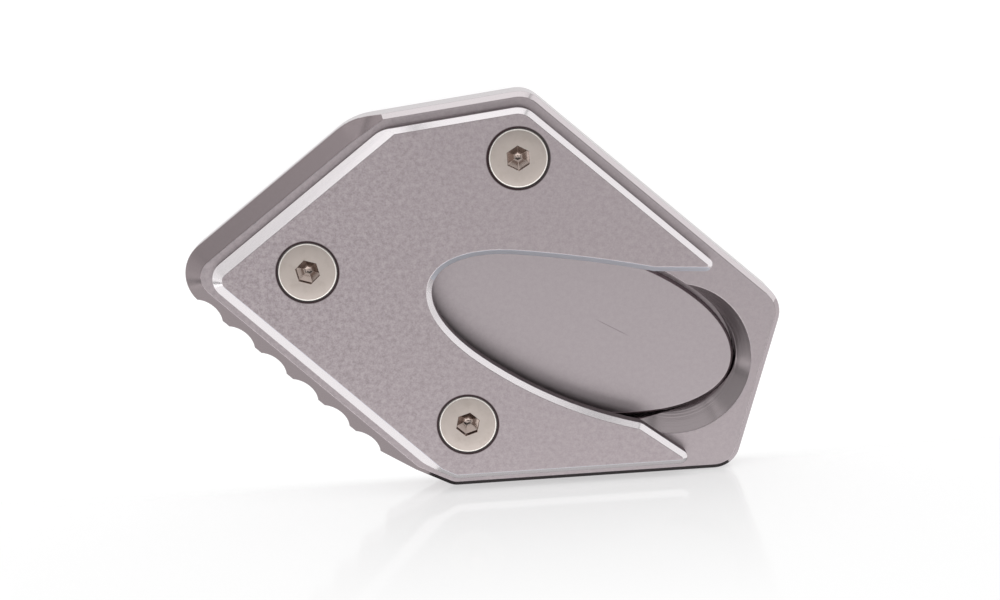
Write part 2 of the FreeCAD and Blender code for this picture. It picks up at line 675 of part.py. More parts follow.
def check_and_export(bodies):
    """Refuse a failed object or a broken shape, then write each piece to its own file."""
    doc.recompute()
    failed = [item.Name for item in doc.Objects if {"Invalid", "Error"} & set(item.State)]
    loose = [
        item.Name for item in doc.Objects
        if item.isDerivedFrom("Sketcher::SketchObject") and not item.FullyConstrained
    ]
    broken = [
        body.Label for body in bodies
        if body.Shape.isNull() or not body.Shape.isValid() or len(body.Shape.Solids) != 1
    ]
    if failed or loose or broken:
        raise RuntimeError(f"failed {failed}, not fully held {loose}, broken {broken}")
    os.makedirs("parts", exist_ok=True)
    for body in bodies:
        body.Shape.exportStep(f"parts/{body.Label}.step")


pieces = [make_base_plate(), make_clamp_plate(), make_height_spacer()]
pieces += [make_screw(name) for name in SCREWS]
check_and_export(pieces)
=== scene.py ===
"""Kickstand foot enlarger: finishes, detailed pieces, floor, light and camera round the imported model."""
import logging
import math
from collections.abc import Callable, Iterable
from dataclasses import dataclass
from enum import Enum, IntEnum

import bmesh
import bpy
from mathutils import Matrix, Vector


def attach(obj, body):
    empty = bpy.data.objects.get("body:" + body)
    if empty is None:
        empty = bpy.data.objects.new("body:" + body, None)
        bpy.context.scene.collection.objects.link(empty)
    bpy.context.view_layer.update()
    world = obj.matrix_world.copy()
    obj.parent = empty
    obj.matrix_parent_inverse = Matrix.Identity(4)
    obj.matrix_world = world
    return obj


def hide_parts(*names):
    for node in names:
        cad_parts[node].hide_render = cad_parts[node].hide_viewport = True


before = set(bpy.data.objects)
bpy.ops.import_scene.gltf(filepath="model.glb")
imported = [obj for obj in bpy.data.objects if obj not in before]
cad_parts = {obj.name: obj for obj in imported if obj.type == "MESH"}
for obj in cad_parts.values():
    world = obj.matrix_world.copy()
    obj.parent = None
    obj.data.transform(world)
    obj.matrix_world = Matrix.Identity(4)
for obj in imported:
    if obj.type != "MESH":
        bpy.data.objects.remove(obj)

log = logging.getLogger("kickstand_foot_enlarger")

MM = 0.001
BODY = "root"
WHITE = "#ffffff"

# Vertices that are closer than this are one, in millimetres, and faces flatter to each other than this are
# one face, in degrees.
WELD = 0.001
FLAT_ANGLE = 0.05

# Sockets of the colour form of the Mix node.
MIX_A, MIX_B, MIX_RESULT = 6, 7, 2


class Slot(Enum):
    """Material slots of the record. Each milled piece is given one, but takes its finishes from FINISHES."""

    BASE = "base_metal"
    CLAMP = "clamp_metal"
    SPACER = "spacer_metal"
    SCREW = "screw_steel"


class BaseFace(IntEnum):
    """Kinds of face of the base plate, in the order of its materials."""

    BLASTED = 0
    LOBE = 1
    BRIGHT_CHAMFER = 2
    WIDE_BEVEL = 3


class ClampFace(IntEnum):
    """Kinds of face of the clamp plate, in the order of its materials."""

    BLASTED = 0
    BRIGHT_BEVEL = 1
    COUNTERSINK = 2
    UPPER_LIP = 3


def linear(code: str) -> tuple[float, float, float, float]:
    """Turn an sRGB hex code into a linear colour.

    Args:
        code: six hex digits with a leading hash.

    Returns:
        Red, green, blue and an alpha of 1.
    """
    parts = [int(code[index:index + 2], 16) / 255 for index in (1, 3, 5)]
    red, green, blue = (part / 12.92 if part <= 0.04045 else ((part + 0.055) / 1.055) ** 2.4 for part in parts)
    return red, green, blue, 1.0


def grain_scale(size_mm: float) -> float:
    """Noise scale whose features are about this many millimetres wide."""
    return 1 / (size_mm * MM)


def add_node(
    tree: bpy.types.NodeTree, kind: str, inputs: dict[str | int, object] | None = None, **settings: object
) -> bpy.types.Node:
    """Add a node with its settings and its links.

    Args:
        tree: node tree that gets the node.
        kind: Blender's name for the node type.
        inputs: a value, or a socket to link from, for each input by name or number.
        settings: the node's own properties.

    Returns:
        The new node.
    """
    made = tree.nodes.new(kind)
    for name, value in settings.items():
        setattr(made, name, value)
    for key, value in (inputs or {}).items():
        if isinstance(value, bpy.types.NodeSocket):
            tree.links.new(value, made.inputs[key])
        else:
            made.inputs[key].default_value = value
    return made


def new_material(name: str) -> tuple[bpy.types.Material, bpy.types.NodeTree]:
    """Make an empty node material.

    Args:
        name: the material's name.

    Returns:
        The material and its node tree.
    """
    material = bpy.data.materials.new(name)
    material.use_nodes = True
    material.node_tree.nodes.clear()
    return material, material.node_tree


def nearest_axis(
    tree: bpy.types.NodeTree, position: bpy.types.NodeSocket, axes: Iterable[tuple[float, float]]
) -> bpy.types.NodeSocket:
    """Distance in the plan to the nearest of several upright axes.

    Args:
        tree: material that gets the nodes.
        position: object coordinates.
        axes: each axis's place in the plan, in millimetres.

    Returns:
        The distance's socket, in metres.
    """
    flat = add_node(tree, "ShaderNodeVectorMath", {0: position, 1: (1.0, 1.0, 0.0)}, operation="MULTIPLY")
    nearest = None
    for x, y in axes:
        away = add_node(
            tree, "ShaderNodeVectorMath", {0: flat.outputs[0], 1: (x * MM, y * MM, 0.0)}, operation="DISTANCE"
        ).outputs["Value"]
        if nearest is None:
            nearest = away
        else:
            nearest = add_node(tree, "ShaderNodeMath", {0: nearest, 1: away}, operation="MINIMUM").outputs[0]
    return nearest


@dataclass(frozen=True)
class Scratch:
    """Straight scratch in a flat face, between two points of the plan, in millimetres."""

    start: tuple[float, float]
    end: tuple[float, float]
    half_width: float
    depth: float = 0.02
    relief: float = 0.5
    tone: str = "#4a4446"
    darkening: float = 0.45

    def mask(self, tree: bpy.types.NodeTree, position: bpy.types.NodeSocket) -> bpy.types.NodeSocket:
        """Socket that is 1 along the scratch and falls to 0 at its sides and ends.

        Args:
            tree: material that gets the nodes.
            position: object coordinates.

        Returns:
            The mask's socket.
        """
        across = Vector(self.end) - Vector(self.start)
        angle = math.atan2(across.y, across.x)
        start = Matrix.Rotation(-angle, 3, "Z") @ Vector((*self.start, 0)) * MM
        place = add_node(
            tree, "ShaderNodeMapping", {"Vector": position, "Location": -start, "Rotation": (0, 0, -angle)}
        )
        parts = add_node(tree, "ShaderNodeSeparateXYZ", {0: place.outputs[0]})
        length = across.length * MM
        along = add_node(tree, "ShaderNodeMath", {0: parts.outputs["X"], 1: length / 2}, operation="SUBTRACT")
        away = add_node(tree, "ShaderNodeMath", {0: along.outputs[0]}, operation="ABSOLUTE")
        ends = add_node(tree, "ShaderNodeMapRange", {
            "Value": away.outputs[0], "From Min": length / 2, "From Max": length / 4,
            "To Min": 0.0, "To Max": 1.0,
        })
        side = add_node(tree, "ShaderNodeMath", {0: parts.outputs["Y"]}, operation="ABSOLUTE")
        line = add_node(tree, "ShaderNodeMapRange", {
            "Value": side.outputs[0], "From Min": self.half_width * MM, "From Max": 0.0,
            "To Min": 0.0, "To Max": 1.0,
        })
        return add_node(
            tree, "ShaderNodeMath", {0: ends.outputs[0], 1: line.outputs[0]}, operation="MULTIPLY"
        ).outputs[0]


@dataclass(frozen=True)
class BlastedAnodisedAluminium:
    """Aluminium that was milled, bead blasted and anodised titanium grey.

    The blasting gives the eye a satin face with a fine grain and faint clouds. The oxide film keeps the metal's
    gloss under its grey. The walls keep the upright lines of the milling cutter, and take a colour of their
    own, which on the clamp is darker as painted shade. Round each screw axis a dark ring is painted on the
    face, as painted shade of the gap at the countersink's mouth.
    """

    name: str
    dark: str
    light: str
    # Colour of the walls. The clamp's is darker than its faces, as painted shade.
    wall: str
    roughness: float = 0.36
    bevel_roughness: float = 0.2
    wall_roughness: float = 0.2
    # Beads usually leave dents of about 0.1 mm. They are too fine to show, so the grain is drawn coarser.
    grain: float = 0.3
    grain_depth: float = 0.004
    grain_relief: float = 0.35
    cloud: float = 1.0
    cloud_share: float = 0.6
    mottle_span: tuple[float, float] = (0.38, 0.6)
    milled_mottle: float = 0.25
    # Places along X between which the mottling fades, and its strength at each.
    fade_span: tuple[float, float] = (-45.0, 10.0)
    fade_strength: tuple[float, float] = (1.3, 0.55)
    # Share of Z in the normal: from bevel to flat face, and from bevel to wall.
    face_lift: tuple[float, float] = (0.93, 0.99)
    wall_lift: tuple[float, float] = (0.3, 0.15)
    # A milling cutter usually moves on by about 0.1 mm a tooth. Its lines are drawn coarser, so that they show.
    feed: float = 0.22
    mark_lift: tuple[float, float] = (0.5, 0.2)
    mark_stretch: float = 0.03
    mark_depth: float = 0.012
    mark_relief: float = 0.8
    scratches: tuple[Scratch, ...] = ()
    # Painted shade: a dark ring round each of these screw axes, between the two radii, in millimetres.
    shaded_ring_axes: tuple[tuple[float, float], ...] = ()
    shade_ring_reach: tuple[float, float] = (6.2, 6.4)
    ring_shade: str = "#3a2d2f"

    def build(self) -> bpy.types.Material:
        """Make the material.

        Returns:
            A metal whose colour, gloss and relief come from its grain, its clouds and its mill marks.
        """
        material, tree = new_material(self.name)
        coordinates = add_node(tree, "ShaderNodeTexCoord")
        position = coordinates.outputs["Object"]
        grain = add_node(tree, "ShaderNodeTexNoise", {
            "Vector": position, "Scale": grain_scale(self.grain), "Detail": 2.0, "Roughness": 0.6,
        })
        cloud = add_node(tree, "ShaderNodeTexNoise", {
            "Vector": position, "Scale": grain_scale(self.cloud), "Detail": 5.0, "Roughness": 0.65,
        })
        both = add_node(tree, "ShaderNodeMix", {
            "Factor": self.cloud_share, MIX_A: grain.outputs["Fac"], MIX_B: cloud.outputs["Fac"],
        }, data_type="RGBA")
        tilt = add_node(tree, "ShaderNodeMath", {
            0: add_node(tree, "ShaderNodeSeparateXYZ", {0: coordinates.outputs["Normal"]}).outputs["Z"],
        }, operation="ABSOLUTE")
        flat = add_node(tree, "ShaderNodeMapRange", {
            "Value": tilt.outputs[0], "From Min": self.face_lift[0], "From Max": self.face_lift[1],
            "To Min": 0.0, "To Max": 1.0,
        }).outputs[0]
        # The blasted faces are mottled, and the milled bevels and walls hardly.
        contrast = add_node(tree, "ShaderNodeMapRange", {
            "Value": flat, "To Min": self.milled_mottle, "To Max": 1.0,
        })
        mottle = add_node(tree, "ShaderNodeMapRange", {
            "Value": both.outputs[MIX_RESULT], "From Min": self.mottle_span[0], "From Max": self.mottle_span[1],
            "To Min": -0.5, "To Max": 0.5,
        })
        # The jet dwelt longer on the left, so the mottling fades toward the right.
        across = add_node(tree, "ShaderNodeSeparateXYZ", {0: position})
        uneven = add_node(tree, "ShaderNodeMapRange", {
            "Value": across.outputs["X"],
            "From Min": self.fade_span[0] * MM, "From Max": self.fade_span[1] * MM,
            "To Min": self.fade_strength[0], "To Max": self.fade_strength[1],
        })
        depth = add_node(tree, "ShaderNodeMath", {
            0: contrast.outputs[0], 1: uneven.outputs[0],
        }, operation="MULTIPLY")
        shade = add_node(tree, "ShaderNodeMath", {
            0: mottle.outputs[0], 1: depth.outputs[0], 2: 0.5,
        }, operation="MULTIPLY_ADD")
        colour = add_node(tree, "ShaderNodeMix", {
            "Factor": shade.outputs[0], MIX_A: linear(self.dark), MIX_B: linear(self.light),
        }, data_type="RGBA")
        # The walls take their own colour, which on the clamp is painted shade.
        on_wall = add_node(tree, "ShaderNodeMapRange", {
            "Value": tilt.outputs[0], "From Min": self.wall_lift[0], "From Max": self.wall_lift[1],
            "To Min": 0.0, "To Max": 1.0,
        })
        colour = add_node(tree, "ShaderNodeMix", {
            "Factor": on_wall.outputs[0], MIX_A: colour.outputs[MIX_RESULT], MIX_B: linear(self.wall),
        }, data_type="RGBA")
        # Painted shade: a dark ring round each screw, where the gap at the countersink's mouth lies in shade.
        if self.shaded_ring_axes:
            ring = add_node(tree, "ShaderNodeMapRange", {
                "Value": nearest_axis(tree, position, self.shaded_ring_axes),
                "From Min": self.shade_ring_reach[1] * MM, "From Max": self.shade_ring_reach[0] * MM,
                "To Min": 0.0, "To Max": 1.0,
            })
            colour = add_node(tree, "ShaderNodeMix", {
                "Factor": ring.outputs[0], MIX_A: colour.outputs[MIX_RESULT], MIX_B: linear(self.ring_shade),
            }, data_type="RGBA")
        # The flat faces were blasted, the bevels and walls only milled, so they are glossier.
        gloss = add_node(tree, "ShaderNodeMapRange", {
            "Value": flat, "To Min": self.bevel_roughness, "To Max": self.roughness,
        })
        gloss = add_node(tree, "ShaderNodeMapRange", {
            "Value": on_wall.outputs[0], "To Min": gloss.outputs[0], "To Max": self.wall_roughness,
        })
        relief = add_node(tree, "ShaderNodeBump", {
            "Strength": self.grain_relief, "Distance": self.grain_depth * MM, "Height": grain.outputs["Fac"],
        })
        relief = self._add_mill_marks(tree, coordinates, relief)
        for scratch in self.scratches:
            mask = scratch.mask(tree, position)
            colour = add_node(tree, "ShaderNodeMix", {
                "Factor": add_node(
                    tree, "ShaderNodeMath", {0: mask, 1: scratch.darkening}, operation="MULTIPLY"
                ).outputs[0],
                MIX_A: colour.outputs[MIX_RESULT], MIX_B: linear(scratch.tone),
            }, data_type="RGBA")
            relief = add_node(tree, "ShaderNodeBump", {
                "Strength": scratch.relief, "Distance": scratch.depth * MM, "Height": mask,
                "Normal": relief.outputs[0],
            }, invert=True)
        metal = add_node(tree, "ShaderNodeBsdfPrincipled", {
            "Base Color": colour.outputs[MIX_RESULT], "Metallic": 1.0, "Roughness": gloss.outputs[0],
            "Normal": relief.outputs[0],
        })
        add_node(tree, "ShaderNodeOutputMaterial", {"Surface": metal.outputs[0]})
        return material

    def _add_mill_marks(
        self, tree: bpy.types.NodeTree, coordinates: bpy.types.Node, relief: bpy.types.Node
    ) -> bpy.types.Node:
        """Add the cutter's upright lines on the walls to a relief.

        Args:
            tree: material that gets the nodes.
            coordinates: its Texture Coordinate node.
            relief: bump node that the lines are laid over.

        Returns:
            The bump node with both.
        """
        upright = add_node(tree, "ShaderNodeMapping", {
            "Vector": coordinates.outputs["Object"], "Scale": (1.0, 1.0, self.mark_stretch),
        })
        lines = add_node(tree, "ShaderNodeTexNoise", {
            "Vector": upright.outputs[0], "Scale": grain_scale(self.feed), "Detail": 2.0,
        })
        facing = add_node(tree, "ShaderNodeSeparateXYZ", {0: coordinates.outputs["Normal"]})
        tilt = add_node(tree, "ShaderNodeMath", {0: facing.outputs["Z"]}, operation="ABSOLUTE")
        wall = add_node(tree, "ShaderNodeMapRange", {
            "Value": tilt.outputs[0], "From Min": self.mark_lift[0], "From Max": self.mark_lift[1],
            "To Min": 0.0, "To Max": self.mark_relief,
        })
        return add_node(tree, "ShaderNodeBump", {
            "Strength": wall.outputs[0], "Distance": self.mark_depth * MM, "Height": lines.outputs["Fac"],
            "Normal": relief.outputs[0],
        })


@dataclass(frozen=True)
class CutMetal:
    """Metal that a polished cutter or a punch left smooth.

    It gives the eye a clean line or facet that mirrors what it faces, with the tool's fine lines in it. Where
    the cutter took the anodising off an edge, the line is silvery.
    """

    name: str
    colour: str
    roughness: float = 0.22
    # How far the gloss moves from line to line, over the middle of the noise.
    gloss_spread: tuple[float, float] = (-0.03, 0.05)
    line_span: tuple[float, float] = (0.3, 0.7)
    # A polished cutter's lines are usually under 0.1 mm apart. They are drawn coarser, so that they show.
    feed: float = 0.12
    depth: float = 0.003
    relief: float = 0.2

    def build(self) -> bpy.types.Material:
        """Make the material.

        Returns:
            A bright metal with a faint relief from the tool.
        """
        material, tree = new_material(self.name)
        coordinates = add_node(tree, "ShaderNodeTexCoord")
        lines = add_node(tree, "ShaderNodeTexNoise", {
            "Vector": coordinates.outputs["Object"], "Scale": grain_scale(self.feed), "Detail": 1.0,
        })
        relief = add_node(tree, "ShaderNodeBump", {
            "Strength": self.relief, "Distance": self.depth * MM, "Height": lines.outputs["Fac"],
        })
        gloss = add_node(tree, "ShaderNodeMapRange", {
            "Value": lines.outputs["Fac"], "From Min": self.line_span[0], "From Max": self.line_span[1],
            "To Min": self.roughness + self.gloss_spread[0], "To Max": self.roughness + self.gloss_spread[1],
        })
        metal = add_node(tree, "ShaderNodeBsdfPrincipled", {
            "Base Color": linear(self.colour), "Metallic": 1.0, "Roughness": gloss.outputs[0],
            "Normal": relief.outputs[0],
        })
        add_node(tree, "ShaderNodeOutputMaterial", {"Surface": metal.outputs[0]})
        return material


@dataclass(frozen=True)
class TurnedMetal:
    """Metal cut by a tool that went round an axis, so fine rings run round its centre.

    The rings give the eye a fan of light that turns round the centre, as on a lathe-turned face. The feed is
    the width of a ring in millimetres. Real ones are usually about 0.1 mm wide, too fine to show, so they
    are drawn coarser.
    """

    name: str
    colour: str
    roughness: float
    feed: float
    depth: float
    centres: tuple[tuple[float, float], ...]
    relief: float = 0.6
    cloud: float = 3.0
    cloud_colour: str = "#8f8889"
    cloud_span: tuple[float, float] = (0.5, 0.8)
    cloud_strength: float = 0.5
    # A painted highlight: a bright ring at this radius round each centre, none at 0.
    rim: float = 0.0
    rim_width: float = 0.2
    rim_highlight_colour: str = "#f6f1ec"

    def build(self) -> bpy.types.Material:
        """Make the material.

        Returns:
            A metal with rings round the centre nearest to each point.
        """
        material, tree = new_material(self.name)
        coordinates = add_node(tree, "ShaderNodeTexCoord")
        position = coordinates.outputs["Object"]
        from_axis = nearest_axis(tree, position, self.centres)
        rings = add_node(tree, "ShaderNodeCombineXYZ", {"X": from_axis})
        groove = add_node(tree, "ShaderNodeTexNoise", {
            "Vector": rings.outputs[0], "Scale": grain_scale(self.feed), "Detail": 3.0, "Roughness": 0.7,
        })
        cloud = add_node(tree, "ShaderNodeTexNoise", {
            "Vector": position, "Scale": grain_scale(self.cloud), "Detail": 4.0, "Roughness": 0.6,
        })
        stain = add_node(tree, "ShaderNodeMapRange", {
            "Value": cloud.outputs["Fac"], "From Min": self.cloud_span[0], "From Max": self.cloud_span[1],
            "To Min": 0.0, "To Max": self.cloud_strength,
        })
        colour = add_node(tree, "ShaderNodeMix", {
            "Factor": stain.outputs[0], MIX_A: linear(self.colour), MIX_B: linear(self.cloud_colour),
        }, data_type="RGBA")
        if self.rim:
            # Painted highlight: a bright line round the head's edge, where its broken edge would catch the
            # light.
            line = add_node(tree, "ShaderNodeMath", {
                0: from_axis, 1: self.rim * MM, 2: self.rim_width / 2 * MM,
            }, operation="COMPARE")
            colour = add_node(tree, "ShaderNodeMix", {
                "Factor": line.outputs[0], MIX_A: colour.outputs[MIX_RESULT], MIX_B: linear(self.rim_highlight_colour),
            }, data_type="RGBA")
        relief = add_node(tree, "ShaderNodeBump", {
            "Strength": self.relief, "Distance": self.depth * MM, "Height": groove.outputs["Fac"],
        })
        metal = add_node(tree, "ShaderNodeBsdfPrincipled", {
            "Base Color": colour.outputs[MIX_RESULT], "Metallic": 1.0, "Roughness": self.roughness,
            "Normal": relief.outputs[0],
        })
        add_node(tree, "ShaderNodeOutputMaterial", {"Surface": metal.outputs[0]})
        return material


@dataclass(frozen=True)
class PaintedCreviceShade:
    """Dark colour of the countersinks: painted shade of the deep gap round each screw head, seen as a black
    ring.
    """

    name: str
    colour: str
    roughness: float = 0.4

    def build(self) -> bpy.types.Material:
        """Make the material.

        Returns:
            A dark satin surface, as painted shade.
        """
        material, tree = new_material(self.name)
        film = add_node(tree, "ShaderNodeBsdfPrincipled", {
            "Base Color": linear(self.colour), "Roughness": self.roughness,
        })
        add_node(tree, "ShaderNodeOutputMaterial", {"Surface": film.outputs[0]})
        return material


@dataclass(frozen=True)
class Finishes:
    """Every finish of the part."""

    base: BlastedAnodisedAluminium
    base_edge: CutMetal
    base_bevel: CutMetal
    clamp: BlastedAnodisedAluminium
    clamp_edge: CutMetal
    opening_edge: CutMetal
    countersink: PaintedCreviceShade
    spacer: BlastedAnodisedAluminium
    lobe: TurnedMetal
    screw: TurnedMetal
    socket: CutMetal


# Places in the plan, in millimetres, and the angle of each socket's first corner, in degrees.
LOBE_CENTRE = (37.7, -15.95)
SCREW_PLACES = {"screw_left": (-34.4, 7.6), "screw_top": (8.3, 27.45), "screw_lower": (-4.9, -25.65)}
SCREW_TURNS = {"screw_left": 42.0, "screw_top": 30.6, "screw_lower": 16.6}

# The plates are anodised grey. Only the edges that were cut after it are silvery. On the base only the chamfers
# that face the top and the upper right take the silvery colour, as painted highlight, and the bevels that face
# left a darker one, as painted shade. The opening's upper lip is a little duller, and its bluer, darker colour
# is a painted reflection.
FINISHES = Finishes(
    base=BlastedAnodisedAluminium("bead_blasted_anodised_aluminium_base", "#a0979a", "#aea4a7", "#a79da0"),
    base_edge=CutMetal("bright_cut_aluminium_base", "#cfc8ca"),
    base_bevel=CutMetal("milled_anodised_aluminium", "#897f81", feed=0.25),
    # The clamp's wall colour, the third, is darker than its faces, as painted shade.
    clamp=BlastedAnodisedAluminium(
        "bead_blasted_anodised_aluminium_clamp", "#998f92", "#b2a8ab", "#857b7e", wall_roughness=0.5,
        shaded_ring_axes=tuple(SCREW_PLACES.values()),
    ),
    clamp_edge=CutMetal("bright_cut_aluminium_clamp", "#e2dddf"),
    # The upper lip's bluer, darker colour is a painted reflection.
    opening_edge=CutMetal("satin_cut_aluminium", "#cfd1d9", roughness=0.42),
    # Painted shade in the countersinks, the deep gap round each screw head.
    countersink=PaintedCreviceShade("oiled_aluminium", "#2a2021"),
    spacer=BlastedAnodisedAluminium(
        "bead_blasted_anodised_aluminium_spacer", "#a59c9f", "#aea5a8", "#a59c9f",
        scratches=(Scratch((22.0, -7.1), (29.25, -11.4), 0.16),),
    ),
    lobe=TurnedMetal(
        "turned_anodised_aluminium", "#8f8789", roughness=0.24, feed=0.45, depth=0.09, centres=(LOBE_CENTRE,)
    ),
    screw=TurnedMetal(
        "turned_stainless_steel", "#b6aca6", roughness=0.42, feed=0.16, depth=0.003,
        centres=tuple(SCREW_PLACES.values()), cloud=2.0, cloud_colour="#a2978f", rim=5.6,
    ),
    # The socket's colour is darker than the head's, as painted shade in the recess.
    socket=CutMetal("forged_stainless_steel", "#a2948d", roughness=0.17, feed=0.6),
)


def mesh_object(name: str, mesh: bpy.types.Mesh) -> bpy.types.Object:
    """Link a mesh to the scene as an object at the origin.

    Args:
        name: the object's name.
        mesh: its mesh.

    Returns:
        The object.
    """
    made = bpy.data.objects.new(name, mesh)
    bpy.context.scene.collection.objects.link(made)
    return made


def plain_mesh(source: bpy.types.Object, name: str) -> bpy.types.Mesh:
    """Apply an object's modifiers to a mesh of its own.

    Args:
        source: the object, which stays as it is.
        name: the new mesh's name.

    Returns:
        The new mesh.
    """
    graph = bpy.context.evaluated_depsgraph_get()
    mesh = bpy.data.meshes.new_from_object(source.evaluated_get(graph), depsgraph=graph)
    mesh.name = name
    return mesh


def set_true_normals(mesh: bpy.types.Mesh, blend: float) -> None:
    """Give flat faces their own normal right up to their edges, and blend the rest round the curves.

    Args:
        mesh: mesh whose corner normals are set.
        blend: largest angle in degrees between faces that are blended.
    """
    shell = bmesh.new()
    shell.from_mesh(mesh)
    shell.faces.ensure_lookup_table()
    flat = math.radians(FLAT_ANGLE)
    region = [-1] * len(shell.faces)
    areas: list[float] = []
    for start in shell.faces:
        if region[start.index] >= 0:
            continue
        region[start.index] = len(areas)
        area, waiting = 0.0, [start]
        while waiting:
            face = waiting.pop()
            area += face.calc_area()
            for edge in face.edges:
                for beside in edge.link_faces:
                    if region[beside.index] < 0 and edge.calc_face_angle(math.pi) < flat:
                        region[beside.index] = len(areas)
                        waiting.append(beside)
        areas.append(area)
    closest = math.cos(math.radians(blend))
    normals = []
    for face in shell.faces:
        for corner in face.loops:
            near = {region[other.index]: other.normal for other in corner.vert.link_faces}
            total = Vector()
            for number, normal in near.items():
                if normal.dot(face.normal) > closest:
                    total += normal * areas[number] ** 2
            normals.append(total.normalized() if total.length else face.normal.copy())
    shell.free()
    mesh.normals_split_custom_set(normals)


@dataclass
class MachinedPiece:
    """Milled piece, made from its CAD node with its sharp edges broken as a deburring tool leaves them."""

    node: str
    slot: Slot
    edge_break: float = 0.12
    # An edge is broken from the first angle on. Faces up to the second one apart are shaded as one curve.
    sharp_angle: float = 24.0
    blend_angle: float = 50.0
    quad_angle: float = 2.0
    hole_radius: float = 6.4

    @property
    def name(self) -> str:
        """Name of the finished piece."""
        return f"{self.node}_machined"

    def _shell(self) -> bmesh.types.BMesh:
        """Copy the CAD node's mesh and merge it.

        Returns:
            The copy, with whole flat faces and with quads round its curves.
        """
        shell = bmesh.new()
        shell.from_mesh(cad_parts[self.node].data)
        bmesh.ops.remove_doubles(shell, verts=shell.verts, dist=WELD * MM)
        bmesh.ops.dissolve_limit(
            shell, angle_limit=math.radians(FLAT_ANGLE), verts=shell.verts, edges=shell.edges
        )
        bmesh.ops.join_triangles(
            shell, faces=shell.faces, angle_face_threshold=math.radians(self.quad_angle),
            angle_shape_threshold=math.pi,
        )
        return shell

    def _in_hole(self, edge: bmesh.types.BMEdge) -> bool:
        """True for an edge inside a screw's hole, where nothing is broken."""
        middle = (edge.verts[0].co + edge.verts[1].co) / 2 / MM
        return any(math.hypot(middle.x - x, middle.y - y) < self.hole_radius for x, y in SCREW_PLACES.values())

    def build(
        self, finishes: list[bpy.types.Material], finish_of: Callable[[Vector, Vector], int]
    ) -> bpy.types.Object:
        """Make the piece and give each face its finish.

        Args:
            finishes: materials of the piece.
            finish_of: picks the number of a face's material from its middle in millimetres and its normal.

        Returns:
            The finished piece, which stands for its node.
        """
        shell = self._shell()
        sharp = [
            edge for edge in shell.edges
            if edge.calc_face_angle(0) > math.radians(self.sharp_angle) and not self._in_hole(edge)
        ]
        bmesh.ops.bevel(
            shell, geom=sharp, offset=self.edge_break * MM, offset_type="OFFSET", segments=2, profile=0.5,
            affect="EDGES", clamp_overlap=False, loop_slide=True,
        )
        mesh = bpy.data.meshes.new(self.name)
        shell.to_mesh(mesh)
        shell.free()
        for material in finishes:
            mesh.materials.append(material)
        for face in mesh.polygons:
            face.use_smooth = True
            face.material_index = finish_of(Vector(face.center) / MM, Vector(face.normal))
        set_true_normals(mesh, self.blend_angle)
        piece = mesh_object(self.name, mesh)
        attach(piece, BODY)
        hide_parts(self.node)
        return piece


